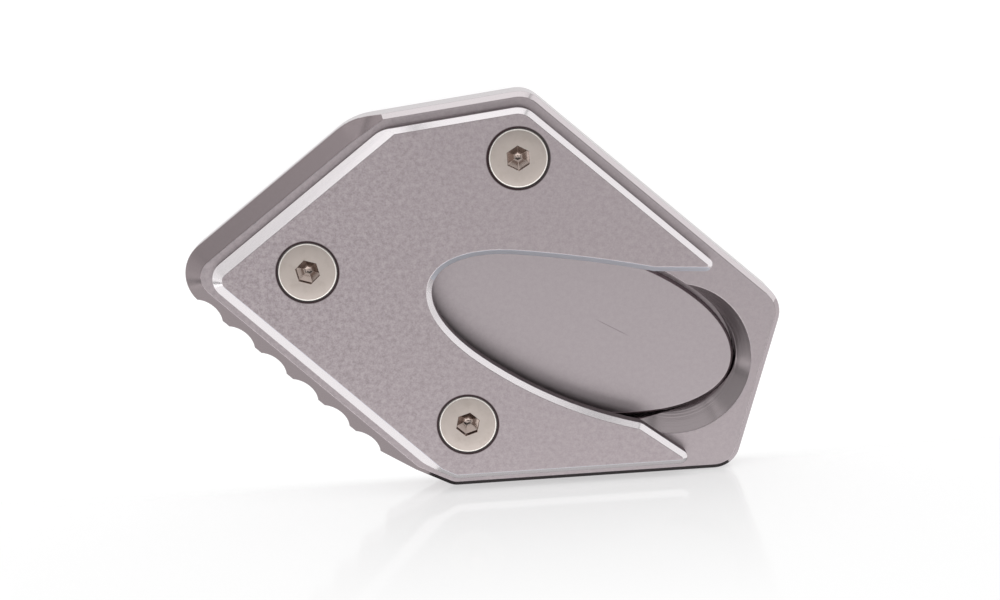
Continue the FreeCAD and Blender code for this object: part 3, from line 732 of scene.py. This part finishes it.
@dataclass
class Plates:
    """Base plate, clamp plate and height spacer, and which face gets which finish.

    A lift is the share of Z in a face's normal. A turn is the direction of the normal in the plan, in degrees.
    """

    bevel_lift: tuple[float, float] = (0.35, 0.9)
    cone_lift: tuple[float, float] = (0.6, 0.85)
    hole_lift: float = 0.95
    # Turns between which the base's bevels get the bright colour, as painted highlight, and then the darker
    # one, as painted shade.
    bright_turn: tuple[float, float] = (25.0, 115.0)
    wide_bevel_end: float = 260.0
    # A bevel faces outwards if its face lies at least this far from the origin along its normal.
    outward: float = 20.0
    lip_facing: float = -0.35
    countersink_radius: float = 6.25
    lobe_radius: float = 15.72
    lobe_floor: float = 4.95

    def _tilted(self, normal: Vector) -> bool:
        """True on a bevel."""
        return self.bevel_lift[0] < normal.z < self.bevel_lift[1]

    def _on_base(self, place: Vector, normal: Vector) -> BaseFace:
        """Kind of a face of the base plate.

        Args:
            place: the face's middle, in millimetres.
            normal: its normal.

        Returns:
            The kind. The chamfers that face the top and the upper right get the bright cut colour, as painted
            highlight, the wide bevels that face left a darker colour, as painted shade, and the others the
            blasted one.
        """
        toward = math.degrees(math.atan2(normal.y, normal.x)) % 360
        # Painted highlight and painted shade: a bevel's colour follows the way it faces.
        if self._tilted(normal) and place.xy.dot(normal.xy) > self.outward:
            if self.bright_turn[0] < toward < self.bright_turn[1]:
                return BaseFace.BRIGHT_CHAMFER
            if self.bright_turn[1] < toward < self.wide_bevel_end:
                return BaseFace.WIDE_BEVEL
        from_axis = math.hypot(place.x - LOBE_CENTRE[0], place.y - LOBE_CENTRE[1])
        inside = from_axis < self.lobe_radius and place.z > self.lobe_floor
        if inside and self.cone_lift[0] < normal.z < self.cone_lift[1]:
            return BaseFace.LOBE
        return BaseFace.BLASTED

    def _on_clamp(self, place: Vector, normal: Vector) -> ClampFace:
        """Kind of a face of the clamp plate.

        Args:
            place: the face's middle, in millimetres.
            normal: its normal.

        Returns:
            The kind. The upper lip is the side of the opening that faces the bottom edge.
        """
        from_screw = min(math.hypot(place.x - x, place.y - y) for x, y in SCREW_PLACES.values())
        if from_screw < self.countersink_radius and abs(normal.z) < self.hole_lift:
            return ClampFace.COUNTERSINK
        if not self._tilted(normal):
            return ClampFace.BLASTED
        # The upper lip gets its own colour by the way it faces, a painted reflection.
        if normal.y < self.lip_facing and place.xy.dot(normal.xy) < self.outward:
            return ClampFace.UPPER_LIP
        return ClampFace.BRIGHT_BEVEL

    def build(self) -> tuple[bpy.types.Object, ...]:
        """Make the three milled pieces.

        Returns:
            The base plate, the clamp plate and the height spacer.
        """
        base_finishes = {
            BaseFace.BLASTED: FINISHES.base, BaseFace.LOBE: FINISHES.lobe,
            BaseFace.BRIGHT_CHAMFER: FINISHES.base_edge, BaseFace.WIDE_BEVEL: FINISHES.base_bevel,
        }
        base = MachinedPiece("base_plate", Slot.BASE).build(
            [base_finishes[kind].build() for kind in BaseFace], self._on_base
        )
        clamp_finishes = {
            ClampFace.BLASTED: FINISHES.clamp, ClampFace.BRIGHT_BEVEL: FINISHES.clamp_edge,
            ClampFace.COUNTERSINK: FINISHES.countersink, ClampFace.UPPER_LIP: FINISHES.opening_edge,
        }
        clamp = MachinedPiece("clamp_plate", Slot.CLAMP).build(
            [clamp_finishes[kind].build() for kind in ClampFace], self._on_clamp
        )
        spacer = MachinedPiece("height_spacer", Slot.SPACER).build(
            [FINISHES.spacer.build()], lambda place, normal: 0
        )
        return base, clamp, spacer


@dataclass
class CountersunkScrews:
    """Three countersunk screws with hexagon sockets and rolled threads, in millimetres."""

    top: float = 14.0
    head_radius: float = 5.82
    head_rim: float = 0.2
    # The straight rim ends this far below the point where a 45 degree cone to the shank would leave it.
    rim_overrun: float = 0.1
    head_edge: float = 0.15
    # Points of the rounded edge, inwards from the rim and down from the face, in widths of the edge.
    edge_curve: tuple[tuple[float, float], ...] = ((2.0, 0.0), (1.0, 0.25), (0.25, 1.0), (0.0, 1.6))
    face_ring: float = 2.9
    shank_radius: float = 3.0
    socket_flats: float = 4.25
    socket_depth: float = 1.7
    socket_point: float = 1.4
    socket_edge: float = 0.07
    length: float = 10.0
    neck: float = 3.3
    neck_cone: float = 0.3
    # The thread starts this far below the neck, inside the neck's cone.
    thread_lead: float = 0.2
    pitch: float = 1.0
    root_radius: float = 2.42
    # Part of the half pitch, from root to crest, that a flank takes.
    flank: tuple[float, float] = (0.12, 0.86)
    steps: int = 96
    rows_per_turn: int = 8
    sharp_angle: float = 32.0

    def _hexagon(self, flats: float, angle: float) -> float:
        """Distance from the middle to a hexagon's side, in a direction."""
        sixth = math.pi / 3
        return flats / 2 / math.cos((angle % sixth) - sixth / 2)

    def _head_rings(self) -> list[tuple[Callable[[float], float], float]]:
        """Rings of the head, from the socket's point over the top to the end of the neck.

        Returns:
            For each ring, the distance from the axis in each direction and the height below the top face.
        """
        def circle(radius: float) -> Callable[[float], float]:
            """Distance from the axis all round a circle."""
            return lambda angle: radius

        def hexagon(flats: float) -> Callable[[float], float]:
            """Distance from the axis all round a hexagon."""
            return lambda angle: self._hexagon(flats, angle)

        edge, rim = self.head_edge, self.head_radius
        cone = rim - self.shank_radius
        rounded = [(circle(rim - inward * edge), -down * edge) for inward, down in self.edge_curve]
        return [
            (hexagon(self.socket_flats / 2), -self.socket_depth - self.socket_point / 2),
            (hexagon(self.socket_flats), -self.socket_depth),
            (hexagon(self.socket_flats), -self.socket_edge),
            (hexagon(self.socket_flats + 2 * self.socket_edge), 0.0),
            (circle(self.face_ring), 0.0),
            *rounded,
            (circle(rim), -self.head_rim - self.rim_overrun),
            (circle(self.shank_radius), -self.head_rim - cone),
            (circle(self.shank_radius), -self.neck),
            (circle(self.root_radius), -self.neck - self.neck_cone),
        ]

    def _head(self) -> bpy.types.Object:
        """Make one head with its socket and neck.

        Returns:
            A closed mesh at the origin, with the socket's faces marked.
        """
        shell = bmesh.new()
        angles = [2 * math.pi * step / self.steps for step in range(self.steps)]
        rings = [
            [
                shell.verts.new((
                    reach(angle) * math.cos(angle) * MM, reach(angle) * math.sin(angle) * MM, height * MM
                ))
                for angle in angles
            ]
            for reach, height in self._head_rings()
        ]
        for inner, outer in zip(rings, rings[1:]):
            for step in range(self.steps):
                following = (step + 1) % self.steps
                shell.faces.new((inner[step], outer[step], outer[following], inner[following]))
        point = shell.verts.new((0, 0, -(self.socket_depth + self.socket_point) * MM))
        end = shell.verts.new((0, 0, -(self.neck + self.neck_cone) * MM))
        for step in range(self.steps):
            following = (step + 1) % self.steps
            shell.faces.new((point, rings[0][step], rings[0][following]))
            shell.faces.new((end, rings[-1][following], rings[-1][step]))
        bmesh.ops.recalc_face_normals(shell, faces=shell.faces)
        # The socket's faces lie within its corners, above its point, and don't face away from the axis.
        inside = shell.faces.layers.int.new("socket")
        corner_reach = self._hexagon(self.socket_flats + 2 * self.socket_edge, 0.0)
        lowest = -self.socket_depth - self.socket_point
        for face in shell.faces:
            middle = face.calc_center_median() / MM
            in_socket = middle.xy.length < corner_reach and lowest < middle.z < 0
            face[inside] = int(in_socket and face.normal.xy.dot(middle.xy) <= 0)
        mesh = bpy.data.meshes.new("screw_head")
        shell.to_mesh(mesh)
        shell.free()
        return mesh_object("screw_head", mesh)

    def _tree(self) -> bpy.types.GeometryNodeTree:
        """Geometry Nodes that roll the thread, join it to the head and set a screw at each point.

        Returns:
            The node tree, with named inputs for its sizes.
        """
        tree = bpy.data.node_groups.new("countersunk_screws", "GeometryNodeTree")
        tree.is_modifier = True
        sockets = {
            "Geometry": "NodeSocketGeometry", "Head": "NodeSocketObject", "Metal": "NodeSocketMaterial",
            "Socket metal": "NodeSocketMaterial", "Thread length": "NodeSocketFloat",
            "Thread start": "NodeSocketFloat", "Pitch": "NodeSocketFloat", "Root radius": "NodeSocketFloat",
            "Crest radius": "NodeSocketFloat",
        }
        for name, kind in sockets.items():
            tree.interface.new_socket(name, in_out="INPUT", socket_type=kind)
        tree.interface.new_socket("Geometry", in_out="OUTPUT", socket_type="NodeSocketGeometry")
        given = add_node(tree, "NodeGroupInput").outputs
        rows = int(self.rows_per_turn * (self.length - self.neck) / self.pitch) + 3
        grid = add_node(tree, "GeometryNodeMeshGrid", {
            "Size X": 1.0, "Size Y": 1.0, "Vertices X": self.steps // 2 + 1, "Vertices Y": rows,
        })
        place = add_node(tree, "GeometryNodeInputPosition")
        parts = add_node(tree, "ShaderNodeSeparateXYZ", {0: place.outputs[0]})
        share = add_node(tree, "ShaderNodeMath", {0: parts.outputs["X"], 1: 0.5}, operation="ADD")
        angle = add_node(tree, "ShaderNodeMath", {0: share.outputs[0], 1: 2 * math.pi}, operation="MULTIPLY")
        row = add_node(tree, "ShaderNodeMath", {0: parts.outputs["Y"], 1: 0.5}, operation="ADD")
        # The first and the last row close the thread's ends, at the heights of the rows beside them.
        one_row = 1 / (rows - 1)
        along = add_node(tree, "ShaderNodeMapRange", {
            "Value": row.outputs[0], "From Min": one_row, "From Max": 1 - one_row, "To Min": 0.0, "To Max": 1.0,
        })
        depth = add_node(tree, "ShaderNodeMath", {
            0: along.outputs[0], 1: given["Thread length"],
        }, operation="MULTIPLY")
        after_first = add_node(tree, "ShaderNodeMath", {
            0: row.outputs[0], 1: one_row / 2,
        }, operation="GREATER_THAN")
        before_last = add_node(tree, "ShaderNodeMath", {
            0: row.outputs[0], 1: 1 - one_row / 2,
        }, operation="LESS_THAN")
        open_row = add_node(tree, "ShaderNodeMath", {
            0: after_first.outputs[0], 1: before_last.outputs[0],
        }, operation="MULTIPLY")
        # Where in its turn a point lies: the crest at 0 and 1, the root halfway.
        turns = add_node(tree, "ShaderNodeMath", {0: depth.outputs[0], 1: given["Pitch"]}, operation="DIVIDE")
        lag = add_node(tree, "ShaderNodeMath", {
            0: turns.outputs[0], 1: share.outputs[0],
        }, operation="SUBTRACT")
        phase = add_node(tree, "ShaderNodeMath", {0: lag.outputs[0]}, operation="FRACT")
        past_root = add_node(tree, "ShaderNodeMath", {0: phase.outputs[0], 1: 0.5}, operation="SUBTRACT")
        from_root = add_node(tree, "ShaderNodeMath", {0: past_root.outputs[0]}, operation="ABSOLUTE")
        ridge = add_node(tree, "ShaderNodeMath", {0: from_root.outputs[0], 1: 2.0}, operation="MULTIPLY")
        flank = add_node(tree, "ShaderNodeMapRange", {
            "Value": ridge.outputs[0], "From Min": self.flank[0], "From Max": self.flank[1],
            "To Min": 0.0, "To Max": 1.0,
        })
        # The thread runs out over one turn at each end.
        left = add_node(tree, "ShaderNodeMath", {
            0: given["Thread length"], 1: depth.outputs[0],
        }, operation="SUBTRACT")
        from_end = add_node(tree, "ShaderNodeMath", {
            0: depth.outputs[0], 1: left.outputs[0],
        }, operation="MINIMUM")
        turns_in = add_node(tree, "ShaderNodeMath", {
            0: from_end.outputs[0], 1: given["Pitch"],
        }, operation="DIVIDE")
        run_out = add_node(tree, "ShaderNodeMath", {0: turns_in.outputs[0], 1: 1.0}, operation="MINIMUM")
        crest_height = add_node(tree, "ShaderNodeMath", {
            0: given["Crest radius"], 1: given["Root radius"],
        }, operation="SUBTRACT")
        height = add_node(tree, "ShaderNodeMath", {
            0: crest_height.outputs[0], 1: flank.outputs[0],
        }, operation="MULTIPLY")
        rise = add_node(tree, "ShaderNodeMath", {
            0: height.outputs[0], 1: run_out.outputs[0],
        }, operation="MULTIPLY")
        radius = add_node(tree, "ShaderNodeMath", {
            0: given["Root radius"], 1: rise.outputs[0],
        }, operation="ADD")
        reach = add_node(tree, "ShaderNodeMath", {
            0: radius.outputs[0], 1: open_row.outputs[0],
        }, operation="MULTIPLY")
        cosine = add_node(tree, "ShaderNodeMath", {0: angle.outputs[0]}, operation="COSINE")
        sine = add_node(tree, "ShaderNodeMath", {0: angle.outputs[0]}, operation="SINE")
        across = add_node(tree, "ShaderNodeMath", {
            0: reach.outputs[0], 1: cosine.outputs[0],
        }, operation="MULTIPLY")
        beside = add_node(tree, "ShaderNodeMath", {
            0: reach.outputs[0], 1: sine.outputs[0],
        }, operation="MULTIPLY")
        below = add_node(tree, "ShaderNodeMath", {
            0: depth.outputs[0], 1: given["Thread start"],
        }, operation="ADD")
        level = add_node(tree, "ShaderNodeMath", {0: below.outputs[0], 1: -1.0}, operation="MULTIPLY")
        rolled = add_node(tree, "ShaderNodeCombineXYZ", {
            "X": across.outputs[0], "Y": beside.outputs[0], "Z": level.outputs[0],
        })
        moved = add_node(tree, "GeometryNodeSetPosition", {
            "Geometry": grid.outputs["Mesh"], "Position": rolled.outputs[0],
        })
        closed = add_node(tree, "GeometryNodeMergeByDistance", {
            "Geometry": moved.outputs[0], "Distance": WELD * MM,
        })
        outward = add_node(tree, "GeometryNodeFlipFaces", {"Mesh": closed.outputs[0]})
        head = add_node(tree, "GeometryNodeObjectInfo", {"Object": given["Head"]})
        screw = add_node(tree, "GeometryNodeJoinGeometry")
        for shell in (head.outputs["Geometry"], outward.outputs[0]):
            tree.links.new(shell, screw.inputs[0])
        turn = add_node(tree, "GeometryNodeInputNamedAttribute", {"Name": "turn"}, data_type="FLOAT")
        about = add_node(tree, "ShaderNodeCombineXYZ", {"Z": turn.outputs[0]})
        turned = add_node(tree, "FunctionNodeEulerToRotation", {0: about.outputs[0]})
        row_of_screws = add_node(tree, "GeometryNodeInstanceOnPoints", {
            "Points": given["Geometry"], "Instance": screw.outputs[0], "Rotation": turned.outputs[0],
        })
        real = add_node(tree, "GeometryNodeRealizeInstances", {0: row_of_screws.outputs[0]})
        dressed = add_node(tree, "GeometryNodeSetMaterial", {
            "Geometry": real.outputs[0], "Material": given["Metal"],
        })
        inside = add_node(tree, "GeometryNodeInputNamedAttribute", {"Name": "socket"}, data_type="INT")
        lined = add_node(tree, "GeometryNodeSetMaterial", {
            "Geometry": dressed.outputs[0], "Selection": inside.outputs[0], "Material": given["Socket metal"],
        })
        add_node(tree, "NodeGroupOutput", {0: lined.outputs[0]})
        return tree

    def build(self) -> bpy.types.Object:
        """Make the three screws as one piece.

        Returns:
            The piece that stands for the three CAD nodes.
        """
        points = bpy.data.meshes.new("screw_places")
        points.from_pydata([(x * MM, y * MM, self.top * MM) for x, y in SCREW_PLACES.values()], [], [])
        turns = points.attributes.new("turn", "FLOAT", "POINT")
        for index, name in enumerate(SCREW_PLACES):
            turns.data[index].value = math.radians(SCREW_TURNS[name])
        draft = mesh_object("screw_places", points)
        head = self._head()
        metal = FINISHES.screw.build()
        tree = self._tree()
        nodes = draft.modifiers.new("screws", "NODES")
        nodes.node_group = tree
        thread_start = self.neck + self.thread_lead
        given = {
            "Head": head, "Metal": metal, "Socket metal": FINISHES.socket.build(),
            "Thread length": (self.length - thread_start) * MM,
            "Thread start": thread_start * MM, "Pitch": self.pitch * MM,
            "Root radius": self.root_radius * MM, "Crest radius": self.shank_radius * MM,
        }
        for item in tree.interface.items_tree:
            if item.in_out == "INPUT" and item.name in given:
                nodes[item.identifier] = given[item.name]
        mesh = plain_mesh(draft, "screws")
        for leftover in (draft, head):
            bpy.data.objects.remove(leftover)
        for face in mesh.polygons:
            face.use_smooth = True
        mesh.set_sharp_from_angle(angle=math.radians(self.sharp_angle))
        piece = mesh_object("countersunk_screws", mesh)
        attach(piece, BODY)
        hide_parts(*SCREW_PLACES)
        return piece


@dataclass(frozen=True)
class LightZone:
    """Rectangular patch of the studio's walls that is brighter or darker than the rest, in degrees."""

    azimuth: float
    elevation: float
    half_width: float
    half_height: float
    level: float
    edge: float = 3.0

    def mask(self, tree: bpy.types.NodeTree, direction: bpy.types.NodeSocket) -> bpy.types.NodeSocket:
        """Socket that is 1 inside the patch and 0 outside it.

        Args:
            tree: world that gets the nodes.
            direction: direction in which the world is seen.

        Returns:
            The mask's socket.
        """
        turn, lift = math.radians(self.azimuth), math.radians(self.elevation)
        right = (-math.sin(turn), math.cos(turn), 0.0)
        up = (-math.sin(lift) * math.cos(turn), -math.sin(lift) * math.sin(turn), math.cos(lift))
        toward = (math.cos(lift) * math.cos(turn), math.cos(lift) * math.sin(turn), math.sin(lift))
        facing = add_node(tree, "ShaderNodeVectorMath", {0: direction, 1: toward}, operation="DOT_PRODUCT")
        mask = add_node(
            tree, "ShaderNodeMath", {0: facing.outputs["Value"], 1: 0.0}, operation="GREATER_THAN"
        ).outputs[0]
        for axis, half in ((right, self.half_width), (up, self.half_height)):
            along = add_node(tree, "ShaderNodeVectorMath", {0: direction, 1: axis}, operation="DOT_PRODUCT")
            away = add_node(tree, "ShaderNodeMath", {0: along.outputs["Value"]}, operation="ABSOLUTE")
            inside = add_node(tree, "ShaderNodeMapRange", {
                "Value": away.outputs[0], "From Min": math.sin(math.radians(half + self.edge / 2)),
                "From Max": math.sin(math.radians(half - self.edge / 2)), "To Min": 0.0, "To Max": 1.0,
            }, interpolation_type="SMOOTHSTEP")
            mask = add_node(
                tree, "ShaderNodeMath", {0: mask, 1: inside.outputs[0]}, operation="MULTIPLY"
            ).outputs[0]
        return mask


@dataclass(frozen=True)
class Flag:
    """Upright strip that only reflections see, in millimetres.

    Its tone runs from the first to the second between the two heights of its fade.
    """

    name: str
    start: tuple[float, float]
    end: tuple[float, float]
    heights: tuple[float, float]
    fade: tuple[float, float]
    tones: tuple[float, float]

    def corners(self) -> tuple[tuple[float, float, float], ...]:
        """Corners of the strip."""
        low, high = self.heights
        return (*self.start, low), (*self.start, high), (*self.end, high), (*self.end, low)

    def build(self) -> bpy.types.Material:
        """Make the strip's glow.

        Returns:
            An emission that fades between the two heights.
        """
        material, tree = new_material(self.name)
        place = add_node(tree, "ShaderNodeNewGeometry")
        height = add_node(tree, "ShaderNodeSeparateXYZ", {0: place.outputs["Position"]})
        glow = add_node(tree, "ShaderNodeMapRange", {
            "Value": height.outputs["Z"], "From Min": self.fade[0] * MM, "From Max": self.fade[1] * MM,
            "To Min": self.tones[0], "To Max": self.tones[1],
        })
        light = add_node(tree, "ShaderNodeEmission", {"Color": linear(WHITE), "Strength": glow.outputs[0]})
        add_node(tree, "ShaderNodeOutputMaterial", {"Surface": light.outputs[0]})
        return material


@dataclass
class Studio:
    """Floor, glossy sheet, strips for the reflections, surrounding light and camera."""

    level: float = 1.0
    # Each zone covers the ones before it.
    zones: tuple[LightZone, ...] = (
        # Dark ceiling behind the camera, with the bright strip that the flat faces mirror, and a brighter bank
        # beyond it that lightens them toward the bottom edge.
        LightZone(90, 87.5, 38, 23.5, 0.03),
        LightZone(-90, 86.5, 30, 8.5, 1.26),
        LightZone(-90, 57, 34, 12.5, 2.05),
        # White walls that the bevels of the top and of the upper right mirror, with a dark gap at the peak.
        LightZone(92, 14, 30, 30, 1.2),
        LightZone(38, 14, 18, 25, 1.1),
        LightZone(59, 14, 3, 30, 0.3, 2.0),
        # Dark and bright streak at the shoulder, then the grey wall that the upper left bevels mirror.
        LightZone(124.5, 14, 2.5, 30, 0.3, 2.0),
        LightZone(128.5, 14, 2, 30, 1.8, 1.5),
        LightZone(154.5, 14, 18.5, 30, 0.75),
        # Dark and bright streak at the left corner.
        LightZone(177, 14, 3, 30, 0.25, 2.0),
        LightZone(186, 14, 4, 30, 2.0, 2.0),
    )
    floor_half: float = 1500.0
    floor_drop: float = 0.02
    floor_paint: str = "#8f8f8f"
    floor_glow: float = 0.86
    floor_bounce: str = "#e6e6e6"
    sheet_place: float = -39.95
    sheet_height: float = 420.0
    sheet_fade: float = 6.0
    sheet_tone: str = "#c4c4c4"
    sheet_roughness: float = 0.1
    sheet_glow: float = 0.415
    # Heights between which the mirror image fades, and its strength at each.
    mirror_reach: tuple[float, float] = (8.0, 76.0)
    mirror_strength: tuple[float, float] = (0.9, 0.1)
    # The first stands for the floor's contact shadow under the bottom edge, the others streak the left corner.
    flags: tuple[Flag, ...] = (
        Flag("contact_shadow_flag", (-16.0, -41.5), (50.0, -41.5), (6.0, 13.3), (10.2, 11.2), (0.08, 0.56)),
        Flag("corner_flag", (-105.0, -13.0), (-105.0, -5.0), (0.5, 30.0), (0.0, 30.0), (0.05, 0.05)),
        Flag("corner_light", (-105.0, -22.0), (-105.0, -15.0), (0.5, 30.0), (0.0, 30.0), (2.2, 2.2)),
    )
    camera_place: tuple[float, float, float] = (-3.327, 71.493, 336.988)
    camera_turn: tuple[float, float, float] = (-12.4646, -1.8899, -3.42)
    lens: float = 60.17
    clip_start: float = 10.0

    def _panel(self, name: str, corners: Iterable[tuple[float, float, float]]) -> bpy.types.Object:
        """Make a flat panel of the stage.

        Args:
            name: the panel's name.
            corners: its corners in turn, in millimetres.

        Returns:
            The panel.
        """
        mesh = bpy.data.meshes.new(name)
        places = [tuple(MM * part for part in corner) for corner in corners]
        mesh.from_pydata(places, [], [tuple(range(len(places)))])
        panel = mesh_object(name, mesh)
        return panel

    def _floor(self) -> None:
        """White floor that the part lies on, which keeps its soft shadow.

        The camera and the reflections see it glow. All other light meets a plain light grey.
        """
        half, drop = self.floor_half, -self.floor_drop
        floor = self._panel("floor", (
            (-half, -half, drop), (half, -half, drop), (half, half, drop), (-half, half, drop),
        ))
        material, tree = new_material("matt_white_floor")
        path = add_node(tree, "ShaderNodeLightPath")
        camera_or_gloss = add_node(tree, "ShaderNodeMath", {
            0: path.outputs["Is Camera Ray"], 1: path.outputs["Is Glossy Ray"],
        }, operation="MAXIMUM")
        seen = add_node(tree, "ShaderNodeMath", {
            0: camera_or_gloss.outputs[0], 1: path.outputs["Is Transmission Ray"],
        }, operation="MAXIMUM")
        paint = add_node(tree, "ShaderNodeBsdfDiffuse", {"Color": linear(self.floor_paint)})
        glow = add_node(tree, "ShaderNodeEmission", {"Color": linear(WHITE), "Strength": self.floor_glow})
        white = add_node(tree, "ShaderNodeAddShader", {0: paint.outputs[0], 1: glow.outputs[0]})
        plain = add_node(tree, "ShaderNodeBsdfDiffuse", {"Color": linear(self.floor_bounce)})
        both = add_node(tree, "ShaderNodeMixShader", {
            0: seen.outputs[0], 1: plain.outputs[0], 2: white.outputs[0],
        })
        self._one_sided(tree, both)
        floor.data.materials.append(material)

    def _one_sided(self, tree: bpy.types.NodeTree, front: bpy.types.Node) -> None:
        """Finish a panel's material so that the panel shows only from the part's side.

        Args:
            tree: the material's node tree.
            front: shader of the side that shows.
        """
        side = add_node(tree, "ShaderNodeNewGeometry")
        clear = add_node(tree, "ShaderNodeBsdfTransparent")
        either = add_node(tree, "ShaderNodeMixShader", {
            0: side.outputs["Backfacing"], 1: front.outputs[0], 2: clear.outputs[0],
        })
        add_node(tree, "ShaderNodeOutputMaterial", {"Surface": either.outputs[0]})

    def _sheet(self) -> None:
        """Glossy white sheet along the part's bottom edge, with the part's faint mirror image and shadow.

        It shows only from the part's side, and its foot fades into the white floor.
        """
        half, place = self.floor_half, self.sheet_place
        sheet = self._panel("glossy_sheet", (
            (-half, place, 0), (-half, place, self.sheet_height),
            (half, place, self.sheet_height), (half, place, 0),
        ))
        for ray in ("diffuse", "glossy", "transmission", "shadow", "volume_scatter"):
            setattr(sheet, f"visible_{ray}", False)
        material, tree = new_material("white_acrylic_sheet")
        acrylic = add_node(tree, "ShaderNodeBsdfPrincipled", {
            "Base Color": linear(self.sheet_tone), "Roughness": self.sheet_roughness,
            "Emission Color": linear(WHITE), "Emission Strength": self.sheet_glow,
        })
        white = add_node(tree, "ShaderNodeEmission", {"Color": linear(WHITE), "Strength": 1.0})
        place_of = add_node(tree, "ShaderNodeNewGeometry")
        height = add_node(tree, "ShaderNodeSeparateXYZ", {0: place_of.outputs["Position"]})
        foot = add_node(tree, "ShaderNodeMapRange", {
            "Value": height.outputs["Z"], "From Min": 0.0, "From Max": self.sheet_fade * MM,
            "To Min": 0.0, "To Max": 1.0,
        }, interpolation_type="SMOOTHSTEP")
        reach = add_node(tree, "ShaderNodeMapRange", {
            "Value": height.outputs["Z"], "From Min": self.mirror_reach[0] * MM,
            "From Max": self.mirror_reach[1] * MM,
            "To Min": self.mirror_strength[0], "To Max": self.mirror_strength[1],
        })
        shown = add_node(tree, "ShaderNodeMath", {
            0: foot.outputs[0], 1: reach.outputs[0],
        }, operation="MULTIPLY")
        front = add_node(tree, "ShaderNodeMixShader", {
            0: shown.outputs[0], 1: white.outputs[0], 2: acrylic.outputs[0],
        })
        self._one_sided(tree, front)
        sheet.data.materials.append(material)

    def _flags(self) -> None:
        """Strips that only reflections see."""
        for flag in self.flags:
            panel = self._panel(flag.name, flag.corners())
            for ray in ("camera", "diffuse", "transmission", "shadow", "volume_scatter"):
                setattr(panel, f"visible_{ray}", False)
            panel.data.materials.append(flag.build())

    def _surroundings(self) -> None:
        """White surrounding light with its zones. The camera sees plain white behind the floor."""
        world = bpy.data.worlds.new("studio")
        bpy.context.scene.world = world
        world.use_nodes = True
        tree = world.node_tree
        tree.nodes.clear()
        direction = add_node(tree, "ShaderNodeTexCoord").outputs["Generated"]
        strength = add_node(tree, "ShaderNodeValue").outputs[0]
        strength.default_value = self.level
        for zone in self.zones:
            patch = add_node(tree, "ShaderNodeMix", {
                "Factor": zone.mask(tree, direction), "A": strength, "B": zone.level,
            })
            strength = patch.outputs["Result"]
        light = add_node(tree, "ShaderNodeBackground", {"Color": linear(WHITE), "Strength": strength})
        backdrop = add_node(tree, "ShaderNodeBackground", {"Color": linear(WHITE), "Strength": 1.0})
        path = add_node(tree, "ShaderNodeLightPath")
        both = add_node(tree, "ShaderNodeMixShader", {
            0: path.outputs["Is Camera Ray"], 1: light.outputs[0], 2: backdrop.outputs[0],
        })
        add_node(tree, "ShaderNodeOutputWorld", {"Surface": both.outputs[0]})

    def _camera(self) -> None:
        """Camera at the photograph's viewing angle."""
        data = bpy.data.cameras.new("camera")
        data.lens = self.lens
        data.clip_start = self.clip_start * MM
        camera = bpy.data.objects.new("camera", data)
        camera.location = Vector(self.camera_place) * MM
        camera.rotation_euler = tuple(math.radians(angle) for angle in self.camera_turn)
        bpy.context.scene.collection.objects.link(camera)
        bpy.context.scene.camera = camera

    def build(self) -> None:
        """Set up the stage, the light and the camera."""
        self._camera()
        self._floor()
        self._sheet()
        self._flags()
        self._surroundings()
        bpy.context.scene.view_settings.view_transform = "Standard"


def main() -> None:
    """Build the studio and the part's pieces, and report each piece's face count."""
    logging.basicConfig(level=logging.INFO, format="%(name)s: %(message)s")
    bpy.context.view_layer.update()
    Studio().build()
    log.info("studio: floor, sheet, strips, light and camera")
    for piece in (*Plates().build(), CountersunkScrews().build()):
        log.info("%s: %d faces", piece.name, len(piece.data.polygons))


if __name__ == "__main__":
    main()
